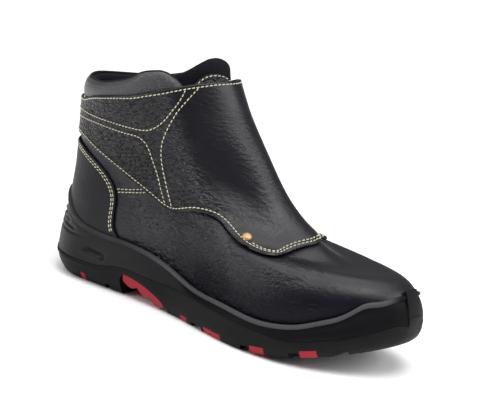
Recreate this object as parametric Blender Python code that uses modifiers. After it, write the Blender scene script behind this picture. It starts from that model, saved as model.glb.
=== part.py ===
"""Safety boot for welding, right foot, standing on its sole.

The toe points along +X, the outer side of the foot faces -Y and +Z is up.
The origin is under the middle of the boot's box, on the floor.
Angles run around the boot: 0 at the back of the heel, 90 on the outer side,
180 at the tip of the toe and 270 on the inner side.
Rings are numbered upward from the foot bed (0) to above the collar (11).
"""

import math

import bmesh
import bpy
import numpy as np
from mathutils import Vector

# Main sizes
SHOE_LENGTH = 0.300
BALL_WIDTH = 0.108
HEEL_WIDTH = 0.078
SHAFT_HEIGHT = 0.164
TOE_SPRING = 0.026
HEEL_KICK = 0.004
BED_HEIGHT = 0.026

# Walls and gaps
GAP = 0.0003
CUP_GAP = 0.0005
RIM_GAP = 0.0005
LEATHER = 0.0020
COLLAR_WALL = 0.0030
COLLAR_PUFF = 0.0014
FLAP_GAP = 0.0010
FLAP_WALL = 0.0020
COUNTER_GAP = 0.0006
COUNTER_WALL = 0.0015
TONGUE_GAP = 0.0011
TONGUE_WALL = 0.0050
INSOLE_WALL = 0.0032
RIM_WALL = 0.0026
CUP_LIP = 0.0023
BEAD_HEIGHT = 0.0026
BEAD_OUT = 0.0007

# Coloured inserts and rivets
INSERT_REACH = 0.013
ARCH_BAR_WALL = 0.0064
ARCH_LOBE_DEPTH = 0.0012
RIVET_WIDTH = 0.0072
RIVET_RISE = 0.0026
RIVET_GAP_OUTER = 0.0017
RIVET_GAP_INNER = 0.0028
CENTRE_GROOVE_WIDTH = 0.009
CENTRE_GROOVE_DEPTH = 0.0035

# Angles of the sections on one side, in degrees: close together at heel, toe and lobes
SECTIONS = (
    0, 5, 10, 15, 20, 26, 32, 39, 46, 54, 62, 70, 78, 86, 94, 102, 110, 116, 119, 122, 126,
    131, 137, 142, 147, 152, 157, 161, 165, 175, 180,
)

# Rings of the upper.
# rear z, front z and dip at the ball as shares of SHAFT_HEIGHT, rear x and front x as
# shares of SHOE_LENGTH, half width of the heel as a share of HEEL_WIDTH, half widths at
# the waist (outer, inner), ball (outer, inner) and toe as shares of BALL_WIDTH, then how
# far the rounding of the heel end and of the toe end reaches, as shares of the ring.
RING_COLUMNS = (
    "rear_z", "front_z", "dip", "rear_x", "front_x", "heel", "waist_out", "waist_in",
    "ball_out", "ball_in", "toe", "rear_round", "front_round",
)
RINGS = np.array([
    (0.146, 0.201, 0.000, 0.035, 0.967, 0.404, 0.301, 0.287, 0.454, 0.407, 0.389, 0.13, 0.27),
    (0.244, 0.265, 0.073, 0.025, 0.983, 0.442, 0.333, 0.306, 0.491, 0.444, 0.426, 0.13, 0.27),
    (0.329, 0.348, 0.061, 0.023, 0.977, 0.442, 0.329, 0.319, 0.481, 0.444, 0.412, 0.14, 0.28),
    (0.409, 0.396, 0.030, 0.023, 0.940, 0.429, 0.319, 0.319, 0.444, 0.417, 0.361, 0.15, 0.33),
    (0.488, 0.394, 0.009, 0.022, 0.837, 0.404, 0.310, 0.310, 0.389, 0.380, 0.292, 0.17, 0.40),
    (0.567, 0.442, 0.000, 0.018, 0.722, 0.385, 0.310, 0.310, 0.343, 0.343, 0.250, 0.20, 0.45),
    (0.652, 0.564, 0.000, 0.017, 0.615, 0.385, 0.319, 0.319, 0.319, 0.319, 0.241, 0.25, 0.50),
    (0.738, 0.729, 0.000, 0.015, 0.532, 0.404, 0.343, 0.343, 0.324, 0.324, 0.259, 0.30, 0.50),
    (0.817, 0.875, 0.000, 0.015, 0.465, 0.429, 0.366, 0.366, 0.343, 0.343, 0.287, 0.35, 0.50),
    (0.890, 0.997, 0.000, 0.017, 0.422, 0.436, 0.370, 0.370, 0.352, 0.352, 0.306, 0.38, 0.50),
    (0.963, 1.091, 0.000, 0.020, 0.393, 0.442, 0.375, 0.375, 0.356, 0.356, 0.315, 0.38, 0.50),
    (1.037, 1.183, 0.000, 0.025, 0.370, 0.449, 0.380, 0.380, 0.361, 0.361, 0.324, 0.38, 0.50),
])
# Shares of a ring's length at which its half widths hold.
RING_STATIONS = (0.0, 0.12, 0.45, 0.70, 0.90, 1.0)

# Sideways lean of the last toward the inner side, share of length and share of width.
LAST_LEAN = ((0.0, 0.0), (0.3, 0.0), (0.5, 0.018), (0.7, 0.028), (0.85, 0.037), (1.0, 0.074))

# Outline of the sole: share of length, outer and inner half width as shares of BALL_WIDTH.
OUTLINE = (
    (0.00, 0.333, 0.333),
    (0.12, 0.361, 0.361),
    (0.30, 0.352, 0.347),
    (0.45, 0.375, 0.356),
    (0.60, 0.472, 0.444),
    (0.70, 0.505, 0.495),
    (0.82, 0.491, 0.500),
    (1.00, 0.426, 0.463),
)
# Sideways lean of the sole's outline, share of length and share of width.
SOLE_LEAN = ((0.0, 0.0), (0.5, 0.0), (0.7, 0.005), (0.85, 0.028), (1.0, 0.074))
# How far the ends of the outline are rounded, share of length.
HEEL_ROUND = 0.13
TOE_ROUND = 0.26

# Foot bed: share of length, height above the tread line as a share of BED_HEIGHT.
BED = (
    (0.00, 1.00), (0.20, 1.00), (0.28, 0.96), (0.41, 0.81), (0.53, 0.62), (0.65, 0.52),
    (0.75, 0.47), (0.85, 0.47), (0.95, 0.45), (1.00, 0.45),
)
# Top of the tread plate: share of length, height above the tread line, share of BED_HEIGHT.
PLATE = (
    (0.00, 0.52), (0.22, 0.52), (0.28, 0.75), (0.33, 0.69), (0.41, 0.40), (0.47, 0.34),
    (0.65, 0.31), (0.75, 0.31), (0.85, 0.30), (1.00, 0.27),
)
# Inset of the tread from the outline: share of length, share of HEEL_WIDTH.
TREAD_INSET = ((0.0, 0.095), (0.25, 0.095), (0.45, 0.050), (0.70, 0.045), (1.0, 0.070))

# Upper edge of the sole's wall: angle and share of SHAFT_HEIGHT, the same on both sides.
WALL_TOP = (
    (0, 0.378), (14, 0.366), (24, 0.335), (33, 0.293), (42, 0.262), (50, 0.250), (60, 0.247),
    (68, 0.237), (76, 0.210), (83, 0.175), (88, 0.156), (95, 0.153), (102, 0.157),
    (108, 0.155), (115, 0.153), (122, 0.162), (129, 0.183), (136, 0.220), (142, 0.253),
    (146, 0.284), (150, 0.314), (157, 0.332), (165, 0.348), (172, 0.357), (180, 0.360),
)
# Ledge where the tread piece ends on the wall: angle and share of SHAFT_HEIGHT.
LEDGE = (
    (0, 0.094), (50, 0.097), (64, 0.128), (76, 0.122), (88, 0.125), (95, 0.122), (104, 0.116),
    (113, 0.110), (123, 0.106), (130, 0.116), (136, 0.138), (143, 0.159), (150, 0.186),
    (158, 0.213), (168, 0.238), (180, 0.238),
)
# The toe band rises in front, between these angles, to this share of SHAFT_HEIGHT.
BAND_EDGE = 174.0
BAND_TOP = 0.376
# Hollow in the side of the wall beside the toe: angle and share of RIM_WALL.
SIDE_HOLLOW = (
    (0, 0.2), (60, 0.2), (100, 0.25), (122, 0.25), (134, 1.0), (156, 1.0), (166, 0.3), (180, 0.3),
)

# Rim of the collar: angle and ring number. The rim ends under the flap.
COLLAR_RIM = (
    (0, 8.95), (25, 8.90), (43, 8.87), (58, 8.89), (68, 8.93), (79, 9.01), (88, 9.13),
    (94, 9.22), (100, 9.35), (106, 9.42), (114, 9.43), (119, 9.34), (124, 9.15), (128, 8.90),
    (135, 8.62), (145, 8.50), (180, 8.45),
)
# Throat slot under the flap: ring number and half angle.
THROAT = ((5.30, 0.0), (5.60, 10.0), (6.50, 18.0), (9.00, 24.0), (9.50, 24.0))
# Angle from which the sections close up to make room for the slot.
SLOT_ZONE = 150.0

# Edges of the flap: angle, ring number of the lower edge and of the upper edge.
FLAP = (
    (15, 5.50, 7.60), (32, 5.55, 7.70), (40, 5.50, 7.76), (50, 5.38, 7.97), (65, 5.05, 8.20),
    (75, 4.70, 8.32), (82, 4.30, 8.38), (87, 4.00, 8.42), (92, 4.30, 8.46), (102, 4.65, 8.58),
    (110, 4.85, 8.68), (116, 4.78, 8.76), (119, 3.60, 8.81), (122, 3.25, 8.84),
    (126, 3.30, 8.88), (133, 3.90, 8.95), (151, 4.62, 9.09), (172, 4.90, 9.15), (180, 5.02, 9.15),
    (190, 5.15, 9.14), (209, 5.05, 9.09), (227, 4.05, 8.95), (234, 3.30, 8.88),
    (238, 3.25, 8.84), (241, 3.60, 8.81), (244, 4.75, 8.76), (258, 4.70, 8.58), (268, 4.35, 8.46),
    (275, 4.30, 8.42), (290, 4.80, 8.30), (300, 5.20, 8.20), (314, 6.10, 8.10),
)
# Upper edge of the heel counter: angle and ring number, the same on both sides.
COUNTER_TOP = ((0, 5.28), (25, 5.20), (40, 4.85), (45, 4.60), (50, 4.10), (53.5, 3.30))
COUNTER_EDGE = 53.5
# Tongue: angle from the toe's middle and ring number of its upper edge.
TONGUE_TOP = ((0, 10.05), (15, 10.02), (30, 9.95), (45, 9.80), (55, 9.60), (60, 9.40))
TONGUE_EDGE = 60.5
TONGUE_LOW = 4.90

# Gaps between the lugs: start and end as shares of SHOE_LENGTH, depth as share of BED_HEIGHT.
LUG_GAPS = (
    (0.219, 0.233, 0.150),
    (0.507, 0.543, 0.110),
    (0.673, 0.697, 0.150),
    (0.797, 0.819, 0.160),
    (0.885, 0.914, 0.190),
)
# Coloured lug blocks: start and end as shares of SHOE_LENGTH, height as share of BED_HEIGHT.
LUG_BLOCKS = (
    (0.141, 0.159, 0.260),
    (0.466, 0.490, 0.180),
    (0.551, 0.611, 0.200),
    (0.699, 0.739, 0.230),
    (0.821, 0.858, 0.240),
)
# Arch under the waist: share of SHOE_LENGTH and height as share of BED_HEIGHT.
ARCH = (
    (0.268, 0.480), (0.277, 0.650), (0.293, 0.645), (0.323, 0.590), (0.357, 0.480),
    (0.390, 0.335), (0.407, 0.225), (0.418, 0.100),
)
# Rivets: angle, ring number and gap between the flat base and the curved flap.
RIVETS = (
    ("rivet_lateral", 122.0, 4.508, RIVET_GAP_OUTER),
    ("rivet_medial", 238.0, 4.508, RIVET_GAP_INNER),
)

# Colours (red, green, blue), roughness and metallic value of each material.
LOOKS = {
    "leather_grain": ((0.020, 0.020, 0.022), 0.42, 0.0),
    "leather_smooth": ((0.024, 0.024, 0.026), 0.36, 0.0),
    "lining": ((0.012, 0.012, 0.014), 0.90, 0.0),
    "sole_black": ((0.022, 0.022, 0.024), 0.52, 0.0),
    "sole_tread": ((0.018, 0.018, 0.020), 0.60, 0.0),
    "insert_red": ((0.520, 0.030, 0.040), 0.45, 0.0),
    "rivet_copper": ((0.640, 0.300, 0.150), 0.35, 1.0),
}


def spline(rows, column, at):
    """Value of a table's column at the given places, along a natural cubic spline."""
    table = np.asarray(rows, float)
    knots = table[:, 0]
    values = table[:, column]
    at = np.clip(np.asarray(at, float), knots[0], knots[-1])
    count = len(knots)
    width = np.diff(knots)
    matrix = np.zeros((count, count))
    right = np.zeros(count)
    matrix[0, 0] = 1.0
    matrix[-1, -1] = 1.0
    for i in range(1, count - 1):
        matrix[i, i - 1] = width[i - 1]
        matrix[i, i] = 2.0 * (width[i - 1] + width[i])
        matrix[i, i + 1] = width[i]
        after = (values[i + 1] - values[i]) / width[i]
        before = (values[i] - values[i - 1]) / width[i - 1]
        right[i] = 6.0 * (after - before)
    bend = np.linalg.solve(matrix, right)
    k = np.clip(np.searchsorted(knots, at) - 1, 0, count - 2)
    w = width[k]
    a = at - knots[k]
    b = knots[k + 1] - at
    return (
        bend[k] * b**3 / (6 * w) + bend[k + 1] * a**3 / (6 * w)
        + (values[k] / w - bend[k] * w / 6) * b + (values[k + 1] / w - bend[k + 1] * w / 6) * a
    )


def straight(rows, column, at):
    """Value of a table's column at the given places, along straight lines."""
    table = np.asarray(rows, float)
    return np.interp(at, table[:, 0], table[:, column])


def folded(angle):
    """Angle from the heel, 0 to 180, the same on both sides."""
    angle = np.mod(angle, 360.0)
    return np.minimum(angle, 360.0 - angle)


def rounded_end(t, power=2.0):
    """Rises from 0 to 1 like the side of an oval."""
    t = np.clip(t, 0.0, 1.0)
    return (1.0 - (1.0 - t) ** power) ** (1.0 / power)


def share_along(angle):
    """Share of the length at an angle: 0 at the heel, 1 at the toe."""
    return (1.0 - np.cos(np.radians(angle))) / 2.0


def tread_height(x):
    """Height of the tread line above the floor: heel kick, flat, then toe spring."""
    share = np.clip(np.asarray(x, float) / SHOE_LENGTH, 0.0, 1.0)
    spring = np.clip((share - 0.633) / 0.367, 0.0, None) ** 1.9
    kick = np.clip((0.073 - share) / 0.073, 0.0, None) ** 2
    return TOE_SPRING * spring + HEEL_KICK * kick


def bed_height(x):
    """Height of the foot bed above the floor."""
    share = np.clip(np.asarray(x, float) / SHOE_LENGTH, 0.0, 1.0)
    return tread_height(x) + BED_HEIGHT * spline(BED, 1, share)


def plate_height(x):
    """Height of the top of the tread plate above the floor."""
    share = np.clip(np.asarray(x, float) / SHOE_LENGTH, 0.0, 1.0)
    return tread_height(x) + BED_HEIGHT * straight(PLATE, 1, share)


def outline(angle, inset=0.0):
    """Outline of the sole seen from above, moved in by an inset. Rows of x, y."""
    def at(a):
        s = share_along(a)
        ends = rounded_end(s / HEEL_ROUND) * rounded_end((1.0 - s) / TOE_ROUND, 2.15)
        outer = np.mod(a, 360.0) < 180.0
        half = np.where(outer, -spline(OUTLINE, 1, s), spline(OUTLINE, 2, s)) * ends
        y = (half + spline(SOLE_LEAN, 1, s)) * BALL_WIDTH
        return np.stack([SHOE_LENGTH * s, y], -1)

    angle = np.asarray(angle, float)
    along = at(angle + 0.5) - at(angle - 0.5)
    out = np.stack([along[:, 1], -along[:, 0]], -1)
    out /= np.linalg.norm(out, axis=1, keepdims=True)
    return at(angle) - out * np.asarray(inset, float).reshape(-1, 1)


def ring_points(angle):
    """Points of every ring at the given angles: rings, angles, x y z."""
    s = share_along(angle)
    outer = np.mod(angle, 360.0) < 180.0
    col = {name: RINGS[:, i] for i, name in enumerate(RING_COLUMNS)}
    lean_rows = np.array(LAST_LEAN)
    points = []
    for i in range(len(RINGS)):
        waist = np.where(outer, col["waist_out"][i], col["waist_in"][i])
        ball = np.where(outer, col["ball_out"][i], col["ball_in"][i])
        half = np.zeros_like(s)
        heel = col["heel"][i] * HEEL_WIDTH / BALL_WIDTH
        for side in (True, False):
            pick = outer == side
            if pick.any():
                w = waist[pick][0]
                b = ball[pick][0]
                toe = col["toe"][i]
                rows = list(zip(RING_STATIONS, (heel * 0.97, heel, w, b, toe, toe * 0.95)))
                half[pick] = spline(rows, 1, s[pick])
        half = half * rounded_end(s / col["rear_round"][i])
        half = half * rounded_end((1.0 - s) / col["front_round"][i], 2.1)
        x = SHOE_LENGTH * (col["rear_x"][i] + (col["front_x"][i] - col["rear_x"][i]) * s)
        lean = spline(lean_rows, 1, x / SHOE_LENGTH)
        y = (np.where(outer, -half, half) + lean) * BALL_WIDTH
        rise = 3.0 * s**2 - 2.0 * s**3
        z = col["rear_z"][i] + (col["front_z"][i] - col["rear_z"][i]) * rise
        z = SHAFT_HEIGHT * (z - col["dip"][i] * np.exp(-(((s - 0.66) / 0.2) ** 2)))
        if i == 0:
            z = bed_height(x) + GAP
        points.append(np.stack([x, y, z], -1))
    return np.array(points)


def form(angle, ring):
    """Point of the upper's outside at each angle and ring number.

    Each meridian is a natural cubic spline through its ring points.
    """
    angle = np.asarray(angle, float)
    ring = np.asarray(ring, float)
    p = ring_points(angle)
    count, columns, _ = p.shape
    chord = np.linalg.norm(np.diff(p, axis=0), axis=-1) ** 0.75
    matrix = np.zeros((columns, count, count))
    right = np.zeros((columns, count, 3))
    matrix[:, 0, 0] = 1.0
    matrix[:, -1, -1] = 1.0
    for i in range(1, count - 1):
        matrix[:, i, i - 1] = chord[i - 1]
        matrix[:, i, i] = 2.0 * (chord[i - 1] + chord[i])
        matrix[:, i, i + 1] = chord[i]
        right[:, i] = 6.0 * (
            (p[i + 1] - p[i]) / chord[i][:, None] - (p[i] - p[i - 1]) / chord[i - 1][:, None]
        )
    bend = np.linalg.solve(matrix, right)
    p = p.transpose(1, 0, 2)
    k = np.clip(np.floor(ring).astype(int), 0, count - 2)
    j = np.broadcast_to(np.arange(columns), ring.shape)
    w = chord.T[j, k]
    a = ((ring - k) * w)[..., None]
    w = w[..., None]
    b = w - a
    return (
        bend[j, k] * b**3 / (6 * w) + bend[j, k + 1] * a**3 / (6 * w)
        + (p[j, k] / w - bend[j, k] * w / 6) * b + (p[j, k + 1] / w - bend[j, k + 1] * w / 6) * a
    )


def skin(angle, ring, offset=0.0):
    """Point of the upper's form moved out along its normal by an offset.

    angle holds one value a column, or one for each row and column; ring has rows, columns.
    """
    ring = np.asarray(ring, float)
    angle = np.asarray(angle, float)
    if angle.ndim == 2:
        out = np.broadcast_to(offset, ring.shape)
        rows = [skin(angle[r], ring[r:r + 1], out[r:r + 1]) for r in range(len(ring))]
        return np.concatenate(rows, 0)
    around = form(angle + 0.4, ring) - form(angle - 0.4, ring)
    upward = form(angle, ring + 0.02) - form(angle, ring - 0.02)
    normal = np.cross(around, upward)
    normal /= np.linalg.norm(normal, axis=-1, keepdims=True)
    return form(angle, ring) + normal * np.broadcast_to(offset, ring.shape)[..., None]


def ring_at_height(angle, height):
    """Ring number at which each meridian reaches a height, on the lower part of the upper."""
    tries = np.linspace(0.0, 4.0, 161)
    z = form(angle, np.repeat(tries[:, None], len(angle), 1))[..., 2]
    return np.array([np.interp(height[i], z[:, i], tries) for i in range(len(angle))])


def sole_angles():
    """Angles of the sole's sections, with close pairs at the edges of the toe band."""
    side = [float(a) for a in SECTIONS] + [BAND_EDGE - 1.0, BAND_EDGE, BAND_EDGE + 1.0]
    return np.array(sorted({np.mod(a, 360.0) for a in side} | {np.mod(360.0 - a, 360.0) for a in side}))


def in_band(angle, early=0.0):
    """True where the toe band covers the wall, or from a little before it."""
    return folded(angle) > BAND_EDGE + 0.5 - early


# Where the origin lies in the coordinates used above.
_edge = outline(np.arange(0.0, 360.0, 1.0))
MIDDLE = np.array([SHOE_LENGTH / 2.0, (_edge[:, 1].max() + _edge[:, 1].min()) / 2.0, 0.0])


def clear_scene():
    """Empties the scene of objects."""
    for item in list(bpy.data.objects):
        bpy.data.objects.remove(item, do_unlink=True)


def new_collection(name):
    """A collection linked to the scene."""
    group = bpy.data.collections.new(name)
    bpy.context.scene.collection.children.link(group)
    return group


def new_material(name, colour, roughness, metallic):
    """A Principled BSDF material."""
    material = bpy.data.materials.new(name)
    material.use_nodes = True
    shader = material.node_tree.nodes["Principled BSDF"]
    shader.inputs["Base Color"].default_value = (*colour, 1.0)
    shader.inputs["Roughness"].default_value = roughness
    shader.inputs["Metallic"].default_value = metallic
    return material


def finish_mesh(bm, name, group, material):
    """Turns a bmesh into a named object around the boot's origin."""
    bmesh.ops.translate(bm, verts=bm.verts, vec=Vector(-MIDDLE))
    mesh = bpy.data.meshes.new(name)
    bm.to_mesh(mesh)
    bm.free()
    item = bpy.data.objects.new(name, mesh)
    group.objects.link(item)
    if material is not None:
        mesh.materials.append(material)
        mesh.shade_smooth()
        mesh.set_sharp_from_angle(angle=math.radians(40.0))
    return item


def sheet_solid(name, outer, inner, group, material, sides=None):
    """Closed solid between two grids of rows and columns.

    sides holds, for each row, whether the first and last columns have an edge face. Where
    they have none the two columns meet and are welded.
    """
    rows, columns, _ = outer.shape
    if sides is None:
        sides = [True] * (rows - 1)
    bm = bmesh.new()
    out = [[bm.verts.new(p) for p in row] for row in outer]
    inn = [[bm.verts.new(p) for p in row] for row in inner]
    for r in range(rows - 1):
        for c in range(columns - 1):
            bm.faces.new((out[r][c], out[r][c + 1], out[r + 1][c + 1], out[r + 1][c]))
            bm.faces.new((inn[r + 1][c + 1], inn[r][c + 1], inn[r][c], inn[r + 1][c]))
        if sides[r]:
            bm.faces.new((out[r][0], out[r + 1][0], inn[r + 1][0], inn[r][0]))
            bm.faces.new((out[r + 1][-1], out[r][-1], inn[r][-1], inn[r + 1][-1]))
    for c in range(columns - 1):
        bm.faces.new((out[0][c + 1], out[0][c], inn[0][c], inn[0][c + 1]))
        bm.faces.new((out[-1][c], out[-1][c + 1], inn[-1][c + 1], inn[-1][c]))
    bmesh.ops.remove_doubles(bm, verts=bm.verts, dist=1e-6)
    bmesh.ops.triangulate(bm, faces=bm.faces[:], quad_method="FIXED")
    return finish_mesh(bm, name, group, material)


def ring_solid(name, rings, group, material, turned=99):
    """Closed solid from a stack of rings, from the underside, up the outside and inward.

    Both ends are closed by strips across, between points at mirrored angles. From the ring
    numbered turned on, the rings go down again, and the faces are split the other way, so
    that they lie along the faces of the piece inside.
    """
    bm = bmesh.new()
    verts = [[bm.verts.new(p) for p in ring] for ring in rings]
    count = len(verts[0])
    for r in range(len(verts) - 1):
        low = verts[r]
        high = verts[r + 1]
        for c in range(count):
            d = (c + 1) % count
            corners = (low[c], low[d], high[d], high[c])
            if r >= turned:
                corners = (low[d], high[d], high[c], low[c])
            bm.faces.new(corners)
    for ring, flip in ((verts[0], True), (verts[-1], False)):
        half = count // 2
        strips = [(ring[0], ring[1], ring[count - 1])]
        for c in range(1, half - 1):
            strips.append((ring[c], ring[c + 1], ring[count - c - 1], ring[count - c]))
        strips.append((ring[half - 1], ring[half], ring[half + 1]))
        for strip in strips:
            bm.faces.new(tuple(reversed(strip)) if flip else strip)
    bmesh.ops.triangulate(bm, faces=bm.faces[:], quad_method="FIXED")
    return finish_mesh(bm, name, group, material)


def box_cutter(name, x, y, z, slope, group):
    """Box between two x, y and z values, tilted about its middle to follow a slope."""
    bm = bmesh.new()
    bmesh.ops.create_cube(bm, size=1.0)
    size = Vector((x[1] - x[0], y[1] - y[0], z[1] - z[0]))
    bmesh.ops.scale(bm, verts=bm.verts, vec=size)
    for vert in bm.verts:
        vert.co.z += slope * vert.co.x
    middle = Vector(((x[0] + x[1]) / 2, (y[0] + y[1]) / 2, (z[0] + z[1]) / 2))
    bmesh.ops.translate(bm, verts=bm.verts, vec=middle)
    return as_cutter(finish_mesh(bm, name, group, None))


def prism_cutter(name, profile, half_width, group):
    """Solid with a profile of x, z points, drawn across the boot."""
    bm = bmesh.new()
    near = [bm.verts.new((x, -half_width, z)) for x, z in profile]
    far = [bm.verts.new((x, half_width, z)) for x, z in profile]
    bm.faces.new(near)
    bm.faces.new(list(reversed(far)))
    count = len(profile)
    for i in range(count):
        j = (i + 1) % count
        bm.faces.new((near[j], near[i], far[i], far[j]))
    bmesh.ops.recalc_face_normals(bm, faces=bm.faces)
    return as_cutter(finish_mesh(bm, name, group, None))


def as_cutter(item):
    """Marks an object as a cutter."""
    item.hide_render = True
    item.display_type = "WIRE"
    return item


def add_boolean(item, other, operation):
    """Adds a Boolean modifier to an object."""
    cut = item.modifiers.new(other.name, "BOOLEAN")
    cut.operation = operation
    cut.solver = "EXACT"
    cut.object = other
    return cut


def sole_sections(angle):
    """Named rows of points on the sole's sections, shared by the sole's pieces."""
    x = outline(angle)[:, 0]
    top = SHAFT_HEIGHT * spline(WALL_TOP, 1, folded(angle))
    band = in_band(angle)
    ledge = SHAFT_HEIGHT * straight(LEDGE, 1, folded(angle))
    ledge = np.maximum(ledge, plate_height(x) + 0.0012)
    ledge = np.where(band, SHAFT_HEIGHT * BAND_TOP, ledge)
    return x, top, band, ledge


def flat_points(xy, z):
    """Rows of x, y, z from rows of x, y and heights."""
    return np.column_stack([xy, np.broadcast_to(z, len(xy))])


def make_outsole_rings(angle):
    """Rings of the tread piece before its gaps are cut."""
    x, _, _, ledge = sole_sections(angle)
    inset = HEEL_WIDTH * spline(TREAD_INSET, 1, x / SHOE_LENGTH)
    foot = outline(angle, inset)
    low = tread_height(foot[:, 0])
    plate = outline(angle, RIM_WALL)
    plate_z = plate_height(plate[:, 0])
    rings = [
        flat_points(foot, low),
        flat_points(outline(angle, inset * 0.45), low + (plate_z - low) * 0.40),
        flat_points(outline(angle, inset * 0.10), low + (plate_z - low) * 0.90),
        flat_points(outline(angle), ledge - 0.0010),
        flat_points(outline(angle, 0.0008), ledge),
        flat_points(plate, ledge),
        flat_points(plate, plate_z),
    ]
    return rings


def make_midsole_rings(angle):
    """Rings of the cup: underside, outer wall with its bead, lip, then the inner wall."""
    x, top, band, ledge = sole_sections(angle)
    inner = outline(angle, RIM_WALL + RIM_GAP)
    ring_top = ring_at_height(angle, top)
    column = ring_top[None, :]
    lip_in = skin(angle, column, CUP_GAP)[0]
    lip_out = skin(angle, column, CUP_GAP + CUP_LIP)[0]
    hollow = RIM_WALL * straight(SIDE_HOLLOW, 1, folded(angle))
    behind = in_band(angle, 1.0)
    base = np.where(band, (plate_height(x) + top) / 2, ledge + np.where(behind, 0.0014, 0.0))

    def wall(share, inset, power=1.5):
        """A row on the outer wall between the ledge and the lip."""
        low = np.where(behind, RIM_WALL + RIM_GAP, inset)
        edge = outline(angle, low)
        lean = max(0.0, (share - 0.25) / 0.75) ** power
        xy = edge * (1.0 - lean) + lip_out[:, :2] * lean
        return flat_points(xy, base + GAP + (top - base - GAP) * share)

    def beside_lip(drop, out):
        """A row close under the lip, a little outward of it."""
        push = lip_out[:, :2] - lip_in[:, :2]
        push /= np.linalg.norm(push, axis=1, keepdims=True)
        return flat_points(lip_out[:, :2] + push * np.where(behind, 0.0, out)[:, None], top - drop)

    rings = [
        flat_points(inner, plate_height(inner[:, 0]) + CUP_GAP),
        flat_points(inner, base + GAP - np.where(behind, 0.001, 0.0)),
        wall(0.0, 0.0006),
        wall(0.20, 0.0004 + hollow * 0.5),
        wall(0.50, 0.0008 + hollow),
        beside_lip(BEAD_HEIGHT + 0.0006, 0.0002),
        beside_lip(BEAD_HEIGHT - 0.0002, BEAD_OUT),
        beside_lip(0.0006, BEAD_OUT),
        flat_points(lip_out[:, :2], top),
        flat_points(lip_in[:, :2], top),
    ]
    for share in (0.5, 0.0):
        rings.append(skin(angle, column * share, CUP_GAP)[0])
    rings[-1][:, 2] = bed_height(rings[-1][:, 0])
    return rings


def make_upper(group, material):
    """Hollow upper: vamp, quarters and padded collar, with the throat slot."""
    angle = np.concatenate([sole_angles() - 360.0, sole_angles()])
    angle = np.array(sorted(a for a in set(angle) if -180.0 <= a <= 180.0))
    rim = straight(COLLAR_RIM, 1, np.abs(angle))
    wall_top = ring_at_height(angle, SHAFT_HEIGHT * spline(WALL_TOP, 1, np.abs(angle)))
    flap_top = flap_edges(np.mod(angle, 360.0), 2)
    throat = np.full(len(angle), THROAT[0][0])
    roll = np.minimum(flap_top + 0.10, rim - 0.10)
    rows = []
    for low, high, shares in (
        (wall_top * 0.0, wall_top, (0.0, 0.5, 1.0)),
        (wall_top, throat, (0.28, 0.57, 0.77, 0.90, 1.0)),
        (throat, roll, (0.08, 0.17, 0.28, 0.40, 0.56, 0.78, 1.0)),
        (roll, rim, (0.35, 0.80, 1.0)),
    ):
        rows += [low + (high - low) * share for share in shares]
    ring = np.array(rows)
    slot = np.interp(ring, [r[0] for r in THROAT], [r[1] for r in THROAT])
    turned = np.abs(angle)[None, :] - SLOT_ZONE
    room = 180.0 - SLOT_ZONE
    squeeze = np.where(turned > 0, SLOT_ZONE + turned * (room - slot) / room, np.abs(angle)[None, :])
    around = np.sign(angle)[None, :] * squeeze
    wall = upper_wall(ring)
    puff = np.zeros_like(ring)
    puff[-3:-1] = COLLAR_PUFF * np.clip((rim - flap_top - 0.25) / 0.20, 0.0, 1.0)
    outer = skin(around, ring, puff)
    inner = skin(around, ring, -wall)
    sides = [bool(slot[r + 1, 0] > 0.0) for r in range(len(ring) - 1)]
    return sheet_solid("upper", outer, inner, group, material, sides)


def upper_wall(ring):
    """Wall of the upper: leather below, thicker in the padded collar."""
    return LEATHER + (COLLAR_WALL - LEATHER) * np.clip((ring - 7.7) / 0.5, 0.0, 1.0)


def flap_edges(angle, column):
    """Ring number of the flap's lower (1) or upper (2) edge at the given angles."""
    table = np.array(FLAP)
    first = table[0, column]
    last = table[-1, column]
    return np.interp(angle, table[:, 0], table[:, column], left=first, right=last)


def make_flap(group, material):
    """Spark flap: a sheet over the front and both ankles, clear of the upper."""
    first = FLAP[0][0]
    last = FLAP[-1][0]
    angle = sole_angles()
    angle = angle[(angle >= first) & (angle <= last)]
    low = flap_edges(angle, 1)
    high = flap_edges(angle, 2)
    share = np.array([0.0, 0.07, 0.14, 0.225, 0.36, 0.50, 0.65, 0.82, 1.0])[:, None]
    ring = low[None, :] + (high - low)[None, :] * share
    outer = skin(angle, ring, FLAP_GAP + FLAP_WALL)
    inner = skin(angle, ring, FLAP_GAP)
    return sheet_solid("flap", outer, inner, group, material)


def make_counter(group, material):
    """Heel counter: a raised piece between the sole's wall and its own curved top edge."""
    side = [float(a) for a in SECTIONS if a < COUNTER_EDGE - 1.0] + [50.0, COUNTER_EDGE]
    angle = np.array(sorted({-a for a in side} | set(side)))
    top = SHAFT_HEIGHT * spline(WALL_TOP, 1, np.abs(angle))
    low = ring_at_height(angle, top + 0.0009)
    high = straight(COUNTER_TOP, 1, np.abs(angle))
    share = np.linspace(0.0, 1.0, 7)[:, None]
    ring = low[None, :] + (high - low)[None, :] * share
    outer = skin(angle, ring, COUNTER_GAP + COUNTER_WALL)
    inner = skin(angle, ring, COUNTER_GAP)
    return sheet_solid("heel_counter", outer, inner, group, material)


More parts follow.
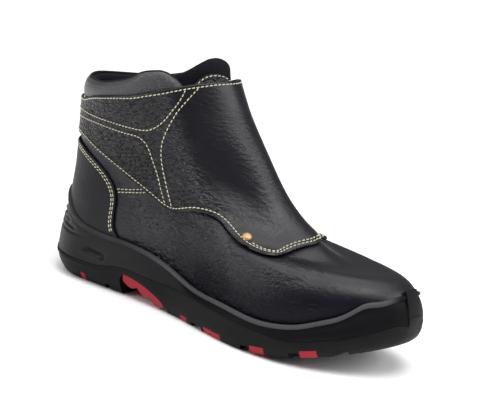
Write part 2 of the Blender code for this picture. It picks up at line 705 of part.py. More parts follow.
def make_tongue(group, material):
    """Padded tongue inside the throat, standing above the flap."""
    angle = sole_angles()
    angle = angle[np.abs(angle - 180.0) <= TONGUE_EDGE]
    top = straight(TONGUE_TOP, 1, np.abs(angle - 180.0))
    share = np.array([0.0, 0.08, 0.22, 0.38, 0.55, 0.75, 0.92, 1.0])[:, None]
    ring = TONGUE_LOW + (top - TONGUE_LOW)[None, :] * share
    wall = upper_wall(ring)
    edge = np.clip((TONGUE_EDGE - np.abs(angle - 180.0)) / 12.0, 0.0, 1.0)[None, :]
    ends = np.clip(np.minimum(share, 1.0 - share) / 0.12, 0.0, 1.0)
    body = TONGUE_WALL * (0.35 + 0.65 * np.sqrt(edge) * np.sqrt(ends))
    outer = skin(angle, ring, -(wall + TONGUE_GAP))
    inner = skin(angle, ring, -(wall + TONGUE_GAP + body))
    return sheet_solid("tongue", outer, inner, group, material)


def make_insole(group, material):
    """Foot bed plate inside the upper."""
    angle = sole_angles()
    xy = skin(angle, np.full((1, len(angle)), 0.05), -(LEATHER + 0.0010))[0][:, :2]
    low = bed_height(xy[:, 0]) + GAP
    rings = [flat_points(xy, low), flat_points(xy, low + INSOLE_WALL)]
    return ring_solid("insole", rings, group, material)


def make_rivets(group, material):
    """Domed rivets on the flap."""
    for name, angle, ring, gap in RIVETS:
        place = np.full((1, 1), ring)
        turn = np.array([angle])
        base = skin(turn, place, FLAP_GAP + FLAP_WALL + gap)[0, 0]
        away = skin(turn, place, 0.01)[0, 0] - skin(turn, place, 0.0)[0, 0]
        radius = RIVET_WIDTH / 2.0
        bm = bmesh.new()
        points = [(0.0, RIVET_RISE)]
        for i in range(1, 5):
            lift = math.radians(90.0 - 22.5 * i)
            points.append((radius * math.cos(lift), RIVET_RISE * (0.25 + 0.75 * math.sin(lift))))
        points.append((radius, 0.0))
        points.append((0.0, 0.0))
        verts = [bm.verts.new((x, 0.0, z)) for x, z in points]
        for a, b in zip(verts, verts[1:]):
            bm.edges.new((a, b))
        mesh = bpy.data.meshes.new(name)
        bm.to_mesh(mesh)
        bm.free()
        mesh.materials.append(material)
        item = bpy.data.objects.new(name, mesh)
        group.objects.link(item)
        screw = item.modifiers.new("turn", "SCREW")
        screw.steps = 12
        screw.render_steps = 12
        screw.use_merge_vertices = True
        screw.merge_threshold = 0.00001
        screw.use_smooth_shade = True
        item.location = Vector(base - MIDDLE)
        item.rotation_mode = "QUATERNION"
        item.rotation_quaternion = Vector(away).to_track_quat("Z", "Y")


def block_span(row):
    """x limits, middle, slope and ceiling of a gap or block between lugs."""
    x0 = SHOE_LENGTH * row[0]
    x1 = SHOE_LENGTH * row[1]
    middle = (x0 + x1) / 2.0
    slope = float((tread_height(x1) - tread_height(x0)) / (x1 - x0))
    ceiling = float(tread_height(middle)) + BED_HEIGHT * row[2]
    return x0, x1, middle, slope, ceiling


def side_reach(middle, outer):
    """y limits of a block let in from the outer or the inner side."""
    angle = math.degrees(math.acos(1.0 - 2.0 * middle / SHOE_LENGTH))
    turn = angle if outer else 360.0 - angle
    edge = float(outline(np.array([turn]))[0, 1])
    if outer:
        return edge - 0.02, edge + INSERT_REACH
    return edge - INSERT_REACH, edge + 0.02


def arch_profile(drop, lobes):
    """Points of the arch's ceiling, and for the bar its lobed underside."""
    ceiling = [(SHOE_LENGTH * s, BED_HEIGHT * h - drop) for s, h in ARCH]
    if not lobes:
        first = ceiling[0][0]
        last = ceiling[-1][0]
        return [(first, -0.010)] + ceiling + [(last + 0.001, -0.010)]
    upper = [p for p in ceiling[1:-1]]
    x0 = upper[0][0] + 0.0004
    x1 = upper[-1][0] - 0.0006
    xs = np.linspace(x0, x1, 19)
    heights = np.interp(xs, [p[0] for p in upper], [p[1] for p in upper])
    wave = np.abs(np.sin(np.linspace(0.0, 3.0 * math.pi, len(xs))))
    taper = np.minimum(1.0, (np.arange(len(xs))[::-1] + 2.0) / 5.0)
    floor = heights - ARCH_BAR_WALL * taper - ARCH_LOBE_DEPTH * wave
    return [(x0, heights[0])] + upper[1:-1] + [(x1, heights[-1])] + list(zip(xs, floor))[::-1]


def make_soles(group, cutters, looks):
    """Tread piece with its gaps, arch and pockets, the inserts in them, and the cup."""
    angle = sole_angles()
    rings = make_outsole_rings(angle)
    outsole = ring_solid("outsole", rings, group, looks["sole_tread"], 5)
    for i, row in enumerate(LUG_GAPS):
        x0, x1, middle, slope, ceiling = block_span(row)
        low = ceiling - 0.012
        cut = box_cutter("gap_%d" % (i + 1), (x0, x1), (-0.09, 0.09), (low, ceiling), slope, cutters)
        add_boolean(outsole, cut, "DIFFERENCE")
    grooves = (("groove_heel", 0.10, 0.24), ("groove_ball", 0.46, 0.80))
    for name, s0, s1 in grooves:
        span = (SHOE_LENGTH * s0, SHOE_LENGTH * s1)
        half = CENTRE_GROOVE_WIDTH / 2.0
        rise = float(tread_height(span[1]))
        slope = rise * 0.45 / (span[1] - span[0])
        depth = CENTRE_GROOVE_DEPTH + rise * 0.2
        cut = box_cutter(name, span, (-half, half), (depth - 0.012, depth), slope, cutters)
        add_boolean(outsole, cut, "DIFFERENCE")
    arch = prism_cutter("arch_space", arch_profile(0.0, False), 0.08, cutters)
    add_boolean(outsole, arch, "DIFFERENCE")
    for i, row in enumerate(LUG_BLOCKS):
        x0, x1, middle, slope, ceiling = block_span(row)
        for outer in (True, False):
            side = "lateral" if outer else "medial"
            y0, y1 = side_reach(middle, outer)
            name = "pocket_%s_%d" % (side, i + 1)
            cut = box_cutter(name, (x0, x1), (y0, y1), (ceiling - 0.02, ceiling), slope, cutters)
            add_boolean(outsole, cut, "DIFFERENCE")
            name = "lug_insert_%s_%d" % (side, i + 1)
            block = ring_solid(name, rings, group, looks["insert_red"])
            inner = (y0, y1 - GAP) if outer else (y0 + GAP, y1)
            low = ceiling - 0.02
            name = "keep_%s_%d" % (side, i + 1)
            span = (x0 + GAP, x1 - GAP)
            keep = box_cutter(name, span, inner, (low, ceiling - GAP), slope, cutters)
            add_boolean(block, keep, "INTERSECT")
    bar = ring_solid("arch_insert", rings, group, looks["insert_red"])
    keep = prism_cutter("keep_arch", arch_profile(GAP, True), 0.08, cutters)
    add_boolean(bar, keep, "INTERSECT")
    ring_solid("midsole", make_midsole_rings(angle), group, looks["sole_black"], 9)


def main():
    """Builds every piece of the boot."""
    clear_scene()
    group = new_collection("welding_boot")
    cutters = new_collection("cutters")
    looks = {name: new_material(name, *values) for name, values in LOOKS.items()}
    make_soles(group, cutters, looks)
    make_upper(group, looks["leather_grain"])
    make_flap(group, looks["leather_grain"])
    make_counter(group, looks["leather_smooth"])
    make_tongue(group, looks["lining"])
    make_insole(group, looks["lining"])
    make_rivets(group, looks["rivet_copper"])


main()
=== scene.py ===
"""Welder's ankle boot, right foot, as a Blender add-on that builds its visible pieces.

The toe points along +X, the outer side of the foot faces -Y and +Z is up.
Angles run around the boot: 0 at the back of the heel, 90 on the outer side, 180 at
the tip of the toe and 270 on the inner side. Rings are numbered upward from the foot
bed (0) to above the collar (11). A place on the leather is given as (angle, ring).
"""

import math

import bmesh
import bpy
import numpy as np
from bpy.props import FloatProperty, FloatVectorProperty, IntProperty, PointerProperty
from mathutils import Matrix, Vector


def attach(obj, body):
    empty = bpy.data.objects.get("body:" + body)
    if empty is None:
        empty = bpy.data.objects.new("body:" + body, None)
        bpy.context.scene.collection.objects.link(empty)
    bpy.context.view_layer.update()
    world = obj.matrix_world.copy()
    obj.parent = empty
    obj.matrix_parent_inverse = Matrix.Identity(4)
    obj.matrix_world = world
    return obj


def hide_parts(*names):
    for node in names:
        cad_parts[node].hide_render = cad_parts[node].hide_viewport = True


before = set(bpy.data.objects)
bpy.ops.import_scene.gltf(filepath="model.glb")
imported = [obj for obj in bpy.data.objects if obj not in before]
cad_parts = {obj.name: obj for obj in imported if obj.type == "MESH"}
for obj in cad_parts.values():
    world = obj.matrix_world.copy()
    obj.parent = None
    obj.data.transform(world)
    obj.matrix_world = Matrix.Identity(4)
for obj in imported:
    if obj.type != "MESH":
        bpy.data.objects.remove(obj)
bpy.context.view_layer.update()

bl_info = {
    "name": "Welding boot",
    "version": (1, 0, 0),
    "blender": (4, 5, 0),
    "location": "3D View > Sidebar > Boot",
    "description": "Builds the leather, textile, thread and sole pieces of a welder's ankle boot",
    "category": "Add Mesh",
}

PANEL_TAB = "Boot"
BODY = "root"
MM = 0.001

# Rings of the upper.
# rear z, front z and dip at the ball as shares of the shaft height, rear x and front x as
# shares of the length, half width of the heel as a share of the heel width, half widths at
# the waist (outer, inner), ball (outer, inner) and toe as shares of the ball width, then
# how far the rounding of the heel end and of the toe end reaches, as shares of the ring.
RING_COLUMNS = (
    "rear_z", "front_z", "dip", "rear_x", "front_x", "heel", "waist_out", "waist_in",
    "ball_out", "ball_in", "toe", "rear_round", "front_round",
)
RINGS = np.array([
    (0.146, 0.201, 0.000, 0.035, 0.967, 0.404, 0.301, 0.287, 0.454, 0.407, 0.389, 0.13, 0.27),
    (0.244, 0.265, 0.073, 0.025, 0.983, 0.442, 0.333, 0.306, 0.491, 0.444, 0.426, 0.13, 0.27),
    (0.329, 0.348, 0.061, 0.023, 0.977, 0.442, 0.329, 0.319, 0.481, 0.444, 0.412, 0.14, 0.28),
    (0.409, 0.396, 0.030, 0.023, 0.940, 0.429, 0.319, 0.319, 0.444, 0.417, 0.361, 0.15, 0.33),
    (0.488, 0.394, 0.009, 0.022, 0.837, 0.404, 0.310, 0.310, 0.389, 0.380, 0.292, 0.17, 0.40),
    (0.567, 0.442, 0.000, 0.018, 0.722, 0.385, 0.310, 0.310, 0.343, 0.343, 0.250, 0.20, 0.45),
    (0.652, 0.564, 0.000, 0.017, 0.615, 0.385, 0.319, 0.319, 0.319, 0.319, 0.241, 0.25, 0.50),
    (0.738, 0.729, 0.000, 0.015, 0.532, 0.404, 0.343, 0.343, 0.324, 0.324, 0.259, 0.30, 0.50),
    (0.817, 0.875, 0.000, 0.015, 0.465, 0.429, 0.366, 0.366, 0.343, 0.343, 0.287, 0.35, 0.50),
    (0.890, 0.997, 0.000, 0.017, 0.422, 0.436, 0.370, 0.370, 0.352, 0.352, 0.306, 0.38, 0.50),
    (0.963, 1.091, 0.000, 0.020, 0.393, 0.442, 0.375, 0.375, 0.356, 0.356, 0.315, 0.38, 0.50),
    (1.037, 1.183, 0.000, 0.025, 0.370, 0.449, 0.380, 0.380, 0.361, 0.361, 0.324, 0.38, 0.50),
])
# Shares of a ring's length at which its half widths hold.
RING_STATIONS = (0.0, 0.12, 0.45, 0.70, 0.90, 1.0)

# Sideways lean of the last toward the inner side, share of length and share of width.
LAST_LEAN = ((0.0, 0.0), (0.3, 0.0), (0.5, 0.018), (0.7, 0.028), (0.85, 0.037), (1.0, 0.074))

# Outline of the sole: share of length, outer and inner half width as shares of the ball width.
OUTLINE = (
    (0.00, 0.333, 0.333), (0.12, 0.361, 0.361), (0.30, 0.352, 0.347), (0.45, 0.375, 0.356),
    (0.60, 0.472, 0.444), (0.70, 0.505, 0.495), (0.82, 0.491, 0.500), (1.00, 0.426, 0.463),
)
SOLE_LEAN = ((0.0, 0.0), (0.5, 0.0), (0.7, 0.005), (0.85, 0.028), (1.0, 0.074))
# How far the ends of the outline are rounded, share of length.
HEEL_ROUND = 0.13
TOE_ROUND = 0.26

# Foot bed and top of the tread plate: share of length, height above the tread line as a
# share of the bed height.
BED = (
    (0.00, 1.00), (0.20, 1.00), (0.28, 0.96), (0.41, 0.81), (0.53, 0.62), (0.65, 0.52),
    (0.75, 0.47), (0.85, 0.47), (0.95, 0.45), (1.00, 0.45),
)
PLATE = (
    (0.00, 0.52), (0.22, 0.52), (0.28, 0.75), (0.33, 0.69), (0.41, 0.40), (0.47, 0.34),
    (0.65, 0.31), (0.75, 0.31), (0.85, 0.30), (1.00, 0.27),
)
# Inset of the tread from the outline: share of length, share of the heel width.
TREAD_INSET = ((0.0, 0.095), (0.25, 0.095), (0.45, 0.050), (0.70, 0.045), (1.0, 0.070))

# Upper edge of the sole's wall: angle and share of the shaft height, the same on both sides.
WALL_TOP = (
    (0, 0.378), (14, 0.366), (24, 0.335), (33, 0.293), (42, 0.262), (50, 0.250), (60, 0.247),
    (68, 0.237), (76, 0.210), (83, 0.175), (88, 0.156), (95, 0.153), (102, 0.157),
    (108, 0.155), (115, 0.153), (122, 0.162), (129, 0.183), (136, 0.220), (142, 0.253),
    (146, 0.284), (150, 0.314), (157, 0.332), (165, 0.348), (172, 0.357), (180, 0.360),
)
# Ledge where the tread piece ends on the wall: angle and share of the shaft height.
LEDGE = (
    (0, 0.094), (50, 0.097), (64, 0.128), (76, 0.122), (88, 0.125), (95, 0.122), (104, 0.116),
    (113, 0.110), (123, 0.106), (130, 0.116), (136, 0.138), (143, 0.159), (150, 0.186),
    (158, 0.213), (168, 0.238), (180, 0.238),
)
# The toe band rises in front, from this angle on, to this share of the shaft height.
BAND_EDGE = 174.0
BAND_TOP = 0.374
# Half the slit beside the band, in degrees.
BAND_SLIT = 0.30
# Step across the toe band, and how far its top and the cup's lip stand off the upper.
BAND_STEP = 0.00045
BAND_LIP = 0.0040
CUP_LIP = 0.0028
# Space between the cup and the pieces inside it, and how far its bead stands out.
CUP_SPACE = 0.0005
BEAD_OUT = 0.0013
# Hollow in the side of the wall beside the toe: angle and share of the rim's wall.
SIDE_HOLLOW = (
    (0, 0.2), (60, 0.2), (100, 0.25), (122, 0.25), (134, 1.0), (156, 1.0), (166, 0.3), (180, 0.3),
)

# Rim of the collar: angle and ring number. The rim ends under the flap.
COLLAR_RIM = (
    (0, 8.98), (25, 8.94), (48, 8.93), (61, 8.91), (70.4, 8.95), (80.5, 9.04), (89.6, 9.15),
    (94.6, 9.25), (100.3, 9.42), (106.3, 9.50), (114.6, 9.52), (119.2, 9.45), (123.4, 9.28),
    (126.6, 9.05), (129.2, 8.86), (136, 8.62), (145, 8.50), (180, 8.45),
)
# Collar: how far its pad swells, how far it rolls inward at the rim, height of its waves,
# radius of the piping, and thickness of the lining.
PAD_SWELL = 0.0019
PAD_ROLL = 0.0014
PAD_WAVE = 0.00028
PIPING_RADIUS = 0.0010
LINING_WALL = 0.0010
# Throat slot under the flap: ring number and half angle.
THROAT = ((5.30, 0.0), (5.60, 10.0), (6.50, 18.0), (9.00, 24.0), (9.50, 24.0))
# Angle from which the sections close up to make room for the slot.
SLOT_ZONE = 150.0

# Lower edge of the flap on the outer side: angle and ring number, from the back to the front.
FLAP_LOW = (
    (15, 5.64), (34.8, 5.68), (52.2, 5.35), (63.2, 5.00), (72.6, 4.62), (78.5, 4.29), (82.2, 4.10),
    (86.7, 4.19), (97.8, 4.74), (105.4, 5.00), (111.5, 5.08), (114.6, 5.03), (116.2, 4.83),
    (115.8, 4.45), (115.8, 4.08), (117.3, 3.80), (120.0, 3.65), (124.2, 3.70), (133.8, 4.17),
    (151.8, 4.75), (170.9, 4.96), (180, 5.00),
)
# Upper edge of the flap on the outer side: angle and ring number.
FLAP_HIGH = (
    (15, 7.68), (32, 7.72), (44, 7.83), (52, 8.01), (71, 8.30), (85, 8.42), (95, 8.49), (105, 8.61),
    (113, 8.71), (127, 8.88), (142, 9.02), (161, 9.13), (180, 9.15),
)
# Inner side of the flap where it ends: angle, ring of its lower and of its upper edge.
FLAP_END = ((290, 4.80, 8.30), (300, 5.20, 8.20), (314, 6.10, 8.10))
# Angle from which the mirrored edges run over into that end.
FLAP_BLEND_FROM = 268.0
# Points on each of the flap's edges, and columns that are evened out together.
EDGE_POINTS = 400
EVEN_OVER = 25

# Seams on the flap: (angle, ring) along each line.
SEAM_TOP = (
    (18, 7.56), (32, 7.60), (43.9, 7.71), (51.9, 7.89), (71.2, 8.18), (84.7, 8.30), (94.8, 8.37),
    (104.6, 8.49), (113.1, 8.59), (126.7, 8.76), (141.9, 8.90), (160.7, 9.01), (180, 9.03),
)
SEAM_LOW = (
    (18, 5.84), (35.8, 5.87), (53.2, 5.54), (64.6, 5.22), (74.8, 4.90), (81.3, 4.62), (85.4, 4.44),
    (90.1, 4.54), (100.1, 4.96), (106.9, 5.16), (113.1, 5.23), (117.2, 5.18), (118.9, 5.00),
    (119.1, 4.71), (118.8, 4.37), (119.4, 4.04), (121.4, 3.84), (125.2, 3.85), (135.2, 4.30),
    (153.6, 4.85), (173.7, 5.03), (180, 5.06),
)
# Angle at which the mirrored seams end on the inner side, for the lower seam another one.
INNER_END = 49.0
INNER_LOW_END = 75.0
# Below this ring, in front of the notch, a second row runs above the lower seam.
SECOND_ROW_FROM = 4.30
ROW_GAP = 0.0023
# Lift of the flap's front edge: middle and half width in degrees, height in rings.
FRONT_LIFT = (216.0, 17.0, 0.55)
SEAM_A = (
    (18, 7.02), (40.7, 7.07), (57.2, 7.13), (71.2, 7.18), (81.6, 7.20), (89.6, 7.22), (96.9, 7.27),
    (103.4, 7.42), (110.6, 7.69), (117.6, 8.02), (125.7, 8.47), (130.6, 8.79),
)
SEAM_B = (
    (18, 6.60), (40.0, 6.72), (55.9, 6.84), (70.1, 6.89), (83.3, 6.94), (90.6, 6.94), (93.6, 6.80),
    (94.2, 6.43), (93.2, 5.82), (89.4, 5.12), (86.2, 4.54),
)
SEAM_C = (
    (140.9, 8.88), (131.2, 8.50), (121.3, 8.04), (112.4, 7.55), (106.1, 7.12), (102.6, 6.80),
    (100.3, 6.49), (98.0, 6.00), (95.2, 5.43), (90.2, 4.60),
)
# Seam across the quarter, in front of the counter, and how many rings lower its second row is.
SEAM_SIDE = ((56.0, 3.66), (60.8, 3.86), (66.8, 4.15), (73.2, 4.49), (75.4, 4.61))
SIDE_ROW_STEP = 0.17
# Distances of the two rows of stitches from the counter's edge.
COUNTER_ROWS = (0.0017, 0.0034)

# Edge of the counter: angle and ring number from the back to the sole.
COUNTER_EDGE = (
    (0, 5.33), (14, 5.33), (26.5, 5.30), (34.5, 5.22), (41.5, 5.05), (47.5, 4.84), (52.2, 4.50),
    (54.6, 4.10), (55.3, 3.65), (55.1, 3.10), (54.6, 2.65), (54.3, 1.85), (55.2, 1.33),
    (57, 1.0),
)

# Gap between the upper and the counter.
COUNTER_GAP = 0.0006

# Tongue: angle from the toe's middle, minus on the outer side, and ring of its upper edge.
TONGUE_TOP = (
    (-60.5, 9.22), (-54, 9.36), (-44, 9.60), (-34, 9.86), (-23, 10.09), (-16, 10.19),
    (-5, 10.24), (6, 10.16), (18, 10.00), (32, 9.78), (46, 9.50), (60.5, 9.15),
)
TONGUE_EDGE = 60.5
# Leather facing on the tongue: middle and half width in degrees, ring number of its crown,
# and how far it falls to its sides.
FACING = (163.0, 24.0, 9.52, 0.50)
TONGUE_LOW = 4.90
# Depth of the tongue's face under the upper, how much deeper it is from ring 7.7 upward, and
# how far the pad leans forward above the flap.
TONGUE_DEPTH = 0.0031
TONGUE_DEEPER = 0.0010
TONGUE_LEAN = 0.0022
# Ring of the facing's lower edge, its thickness, and power of the curve of its crown.
FACING_LOW = 7.4
FACING_WALL = 0.0014
FACING_CURVE = 2.4

# Gaps between the lugs: start and end as shares of the length, depth as a share of the bed.
LUG_GAPS = (
    (0.219, 0.233, 0.150), (0.507, 0.543, 0.110), (0.673, 0.697, 0.150),
    (0.797, 0.819, 0.160), (0.885, 0.914, 0.190),
)
# Coloured lug blocks: start and end as shares of the length, height as a share of the bed.
LUG_BLOCKS = (
    (0.141, 0.159, 0.260), (0.466, 0.490, 0.180), (0.551, 0.611, 0.200),
    (0.699, 0.739, 0.230), (0.821, 0.858, 0.240),
)
# Grooves along the middle of the tread: start and end as shares of the length.
GROOVES = ((0.10, 0.24), (0.46, 0.80))
GROOVE_HALF = 0.0045
# How far a coloured block reaches inward, and how far the gaps' cutters reach across.
BLOCK_REACH = 0.013
ACROSS = (-0.09, 0.09)
# Arch under the waist: share of length and height as a share of the bed.
ARCH = (
    (0.268, 0.480), (0.277, 0.650), (0.293, 0.645), (0.323, 0.590), (0.357, 0.480),
    (0.390, 0.335), (0.407, 0.225), (0.418, 0.100),
)
# Red bar under the arch: its thickness, and how far its lobes hang below that.
BAR_WALL = 0.0052
LOBE_HANG = 0.0028
# Height of the rivets' straight rim on either side of the leather, and of the dome on it.
RIVET_RIM = 0.0004
RIVET_DOME = 0.0022
# Rivets: piece, node that it replaces, angle and ring number, then the sides of their rings.
RIVETS = (
    ("stud_lateral", "rivet_lateral", 122.0, 4.508),
    ("stud_medial", "rivet_medial", 238.0, 4.508),
)
RIVET_SIDES = 32

# Soft creases of the upper, outer side: (angle, ring) along the line, then the width and the
# depth in millimetres. A negative depth is a ridge.
UPPER_FOLDS = (
    (((60, 3.2), (72, 3.3), (86, 3.2), (98, 3.3)), 3.4, 0.55),
    (((64, 2.5), (80, 2.5), (96, 2.3), (108, 2.4)), 3.6, 0.50),
    (((70, 1.8), (88, 1.7), (104, 1.5)), 3.2, 0.40),
    (((104, 3.4), (110, 2.8), (116, 2.2)), 3.6, 0.60),
    (((96, 3.6), (104, 3.1), (112, 2.0)), 3.4, -0.35),
    (((120, 2.4), (130, 2.6), (140, 3.0)), 4.0, 0.45),
)
FLAP_FOLDS = (
    (((60, 6.2), (80, 6.1), (96, 5.8), (108, 5.7)), 4.2, 0.60),
    (((40, 7.4), (60, 7.5), (84, 7.7), (98, 7.9)), 3.4, 0.35),
    (((112, 6.9), (122, 6.6), (136, 6.2), (150, 6.0)), 5.5, 0.70),
    (((106, 6.2), (118, 5.8), (132, 5.5), (150, 5.4)), 5.0, -0.40),
    (((128, 4.5), (140, 4.9), (156, 5.4)), 4.2, 0.45),
    (((104, 5.4), (116, 5.3), (128, 5.0)), 3.6, 0.40),
)

# Lines on the side of the sole: (angle, height as a share of the wall above the ledge), then
# the width and the depth in millimetres. A negative depth is a rib.
SOLE_LINES = (
    (((2, 0.36), (14, 0.40), (26, 0.52), (36, 0.66), (46, 0.86)), 1.1, 0.9),
    (((5, 0.44), (9, 0.60), (15, 0.78), (24, 0.93)), 1.3, 1.3),
    (((10, 0.45), (14, 0.60), (20, 0.75), (29, 0.90)), 1.3, 1.3),
    (((15, 0.47), (19, 0.60), (25, 0.73), (34, 0.87)), 1.3, 1.2),
    (((20, 0.50), (24, 0.61), (30, 0.71), (39, 0.84)), 1.3, 1.1),
    (((45, 0.40), (50, 0.34), (56, 0.25)), 2.8, 2.4),
    (((43, 0.26), (50, 0.19), (58, 0.10)), 1.1, -0.9),
)


def spline(rows, column, at):
    """Value of a table's column at the given places, along a natural cubic spline."""
    table = np.asarray(rows, float)
    knots = table[:, 0]
    values = table[:, column]
    at = np.clip(np.asarray(at, float), knots[0], knots[-1])
    count = len(knots)
    width = np.diff(knots)
    matrix = np.zeros((count, count))
    right = np.zeros(count)
    matrix[0, 0] = 1.0
    matrix[-1, -1] = 1.0
    for i in range(1, count - 1):
        matrix[i, i - 1] = width[i - 1]
        matrix[i, i] = 2.0 * (width[i - 1] + width[i])
        matrix[i, i + 1] = width[i]
        after = (values[i + 1] - values[i]) / width[i]
        before = (values[i] - values[i - 1]) / width[i - 1]
        right[i] = 6.0 * (after - before)
    bend = np.linalg.solve(matrix, right)
    k = np.clip(np.searchsorted(knots, at) - 1, 0, count - 2)
    w = width[k]
    a = at - knots[k]
    b = knots[k + 1] - at
    return (
        bend[k] * b**3 / (6 * w) + bend[k + 1] * a**3 / (6 * w)
        + (values[k] / w - bend[k] * w / 6) * b + (values[k + 1] / w - bend[k + 1] * w / 6) * a
    )


def straight(rows, column, at):
    """Value of a table's column at the given places, along straight lines."""
    table = np.asarray(rows, float)
    return np.interp(at, table[:, 0], table[:, column])


def eased(rows, column, at):
    """Value of a table's column, along curves that never swing past the table's own values."""
    table = np.asarray(rows, float)
    x = table[:, 0]
    y = table[:, column]
    at = np.clip(np.asarray(at, float), x[0], x[-1])
    slope = np.diff(y) / np.diff(x)
    tangent = np.zeros(len(x))
    same = slope[1:] * slope[:-1] > 0
    tangent[1:-1][same] = 2 * slope[1:][same] * slope[:-1][same] / (slope[1:] + slope[:-1])[same]
    tangent[0] = slope[0]
    tangent[-1] = slope[-1]
    k = np.clip(np.searchsorted(x, at) - 1, 0, len(x) - 2)
    w = (x[1:] - x[:-1])[k]
    t = (at - x[k]) / w
    return (
        y[k] * (1 + 2 * t) * (1 - t) ** 2 + y[k + 1] * t**2 * (3 - 2 * t)
        + tangent[k] * w * t * (1 - t) ** 2 - tangent[k + 1] * w * t**2 * (1 - t)
    )


def unit(vectors):
    """The same directions with a length of 1."""
    return vectors / np.linalg.norm(vectors, axis=-1, keepdims=True)


def run_along(points, axis=0):
    """Distance walked along a line of points, or along one axis of a grid, from 0."""
    step = np.linalg.norm(np.diff(points, axis=axis), axis=-1)
    return np.concatenate([np.zeros_like(step.take([0], axis)), np.cumsum(step, axis)], axis)


def spread(rows, wanted):
    """Numbers of evenly spread rows, from the first to the last."""
    return np.round(np.linspace(0, rows - 1, wanted)).astype(int)


def curve_through(points, count):
    """Evenly spread points on a smooth curve through a short list of points."""
    p = np.asarray(points, float)
    scale = np.array([1.0, 16.0, 16.0])[:p.shape[1]]
    chord = np.linalg.norm(np.diff(p * scale, axis=0), axis=1) ** 0.7
    t = np.concatenate([[0.0], np.cumsum(chord)])
    rows = np.column_stack([t, p])
    fine = np.linspace(0.0, t[-1], count * 4)
    path = np.column_stack([spline(rows, i + 1, fine) for i in range(p.shape[1])])
    along = run_along(path * scale)
    even = np.linspace(0.0, along[-1], count)
    return np.column_stack([np.interp(even, along, path[:, i]) for i in range(p.shape[1])])


def folded(angle):
    """Angle from the heel, 0 to 180, the same on both sides."""
    angle = np.mod(angle, 360.0)
    return np.minimum(angle, 360.0 - angle)


def rounded_end(t, power=2.0):
    """Rises from 0 to 1 like the side of an oval."""
    t = np.clip(t, 0.0, 1.0)
    return (1.0 - (1.0 - t) ** power) ** (1.0 / power)


def smooth_step(low, high, value):
    """Rises smoothly from 0 to 1 between two values."""
    t = np.clip((np.asarray(value, float) - low) / (high - low), 0.0, 1.0)
    return t * t * (3.0 - 2.0 * t)


def share_along(angle):
    """Share of the length at an angle: 0 at the heel, 1 at the toe."""
    return (1.0 - np.cos(np.radians(angle))) / 2.0


def mirrored(line):
    """The same line of (angle, ring) places on the inner side."""
    return tuple((360.0 - place[0],) + tuple(place[1:]) for place in line)


def upto_middle(line):
    """The places of a line as far as the tip of the toe."""
    return tuple(tuple(place) for place in line if place[0] <= 180.4)


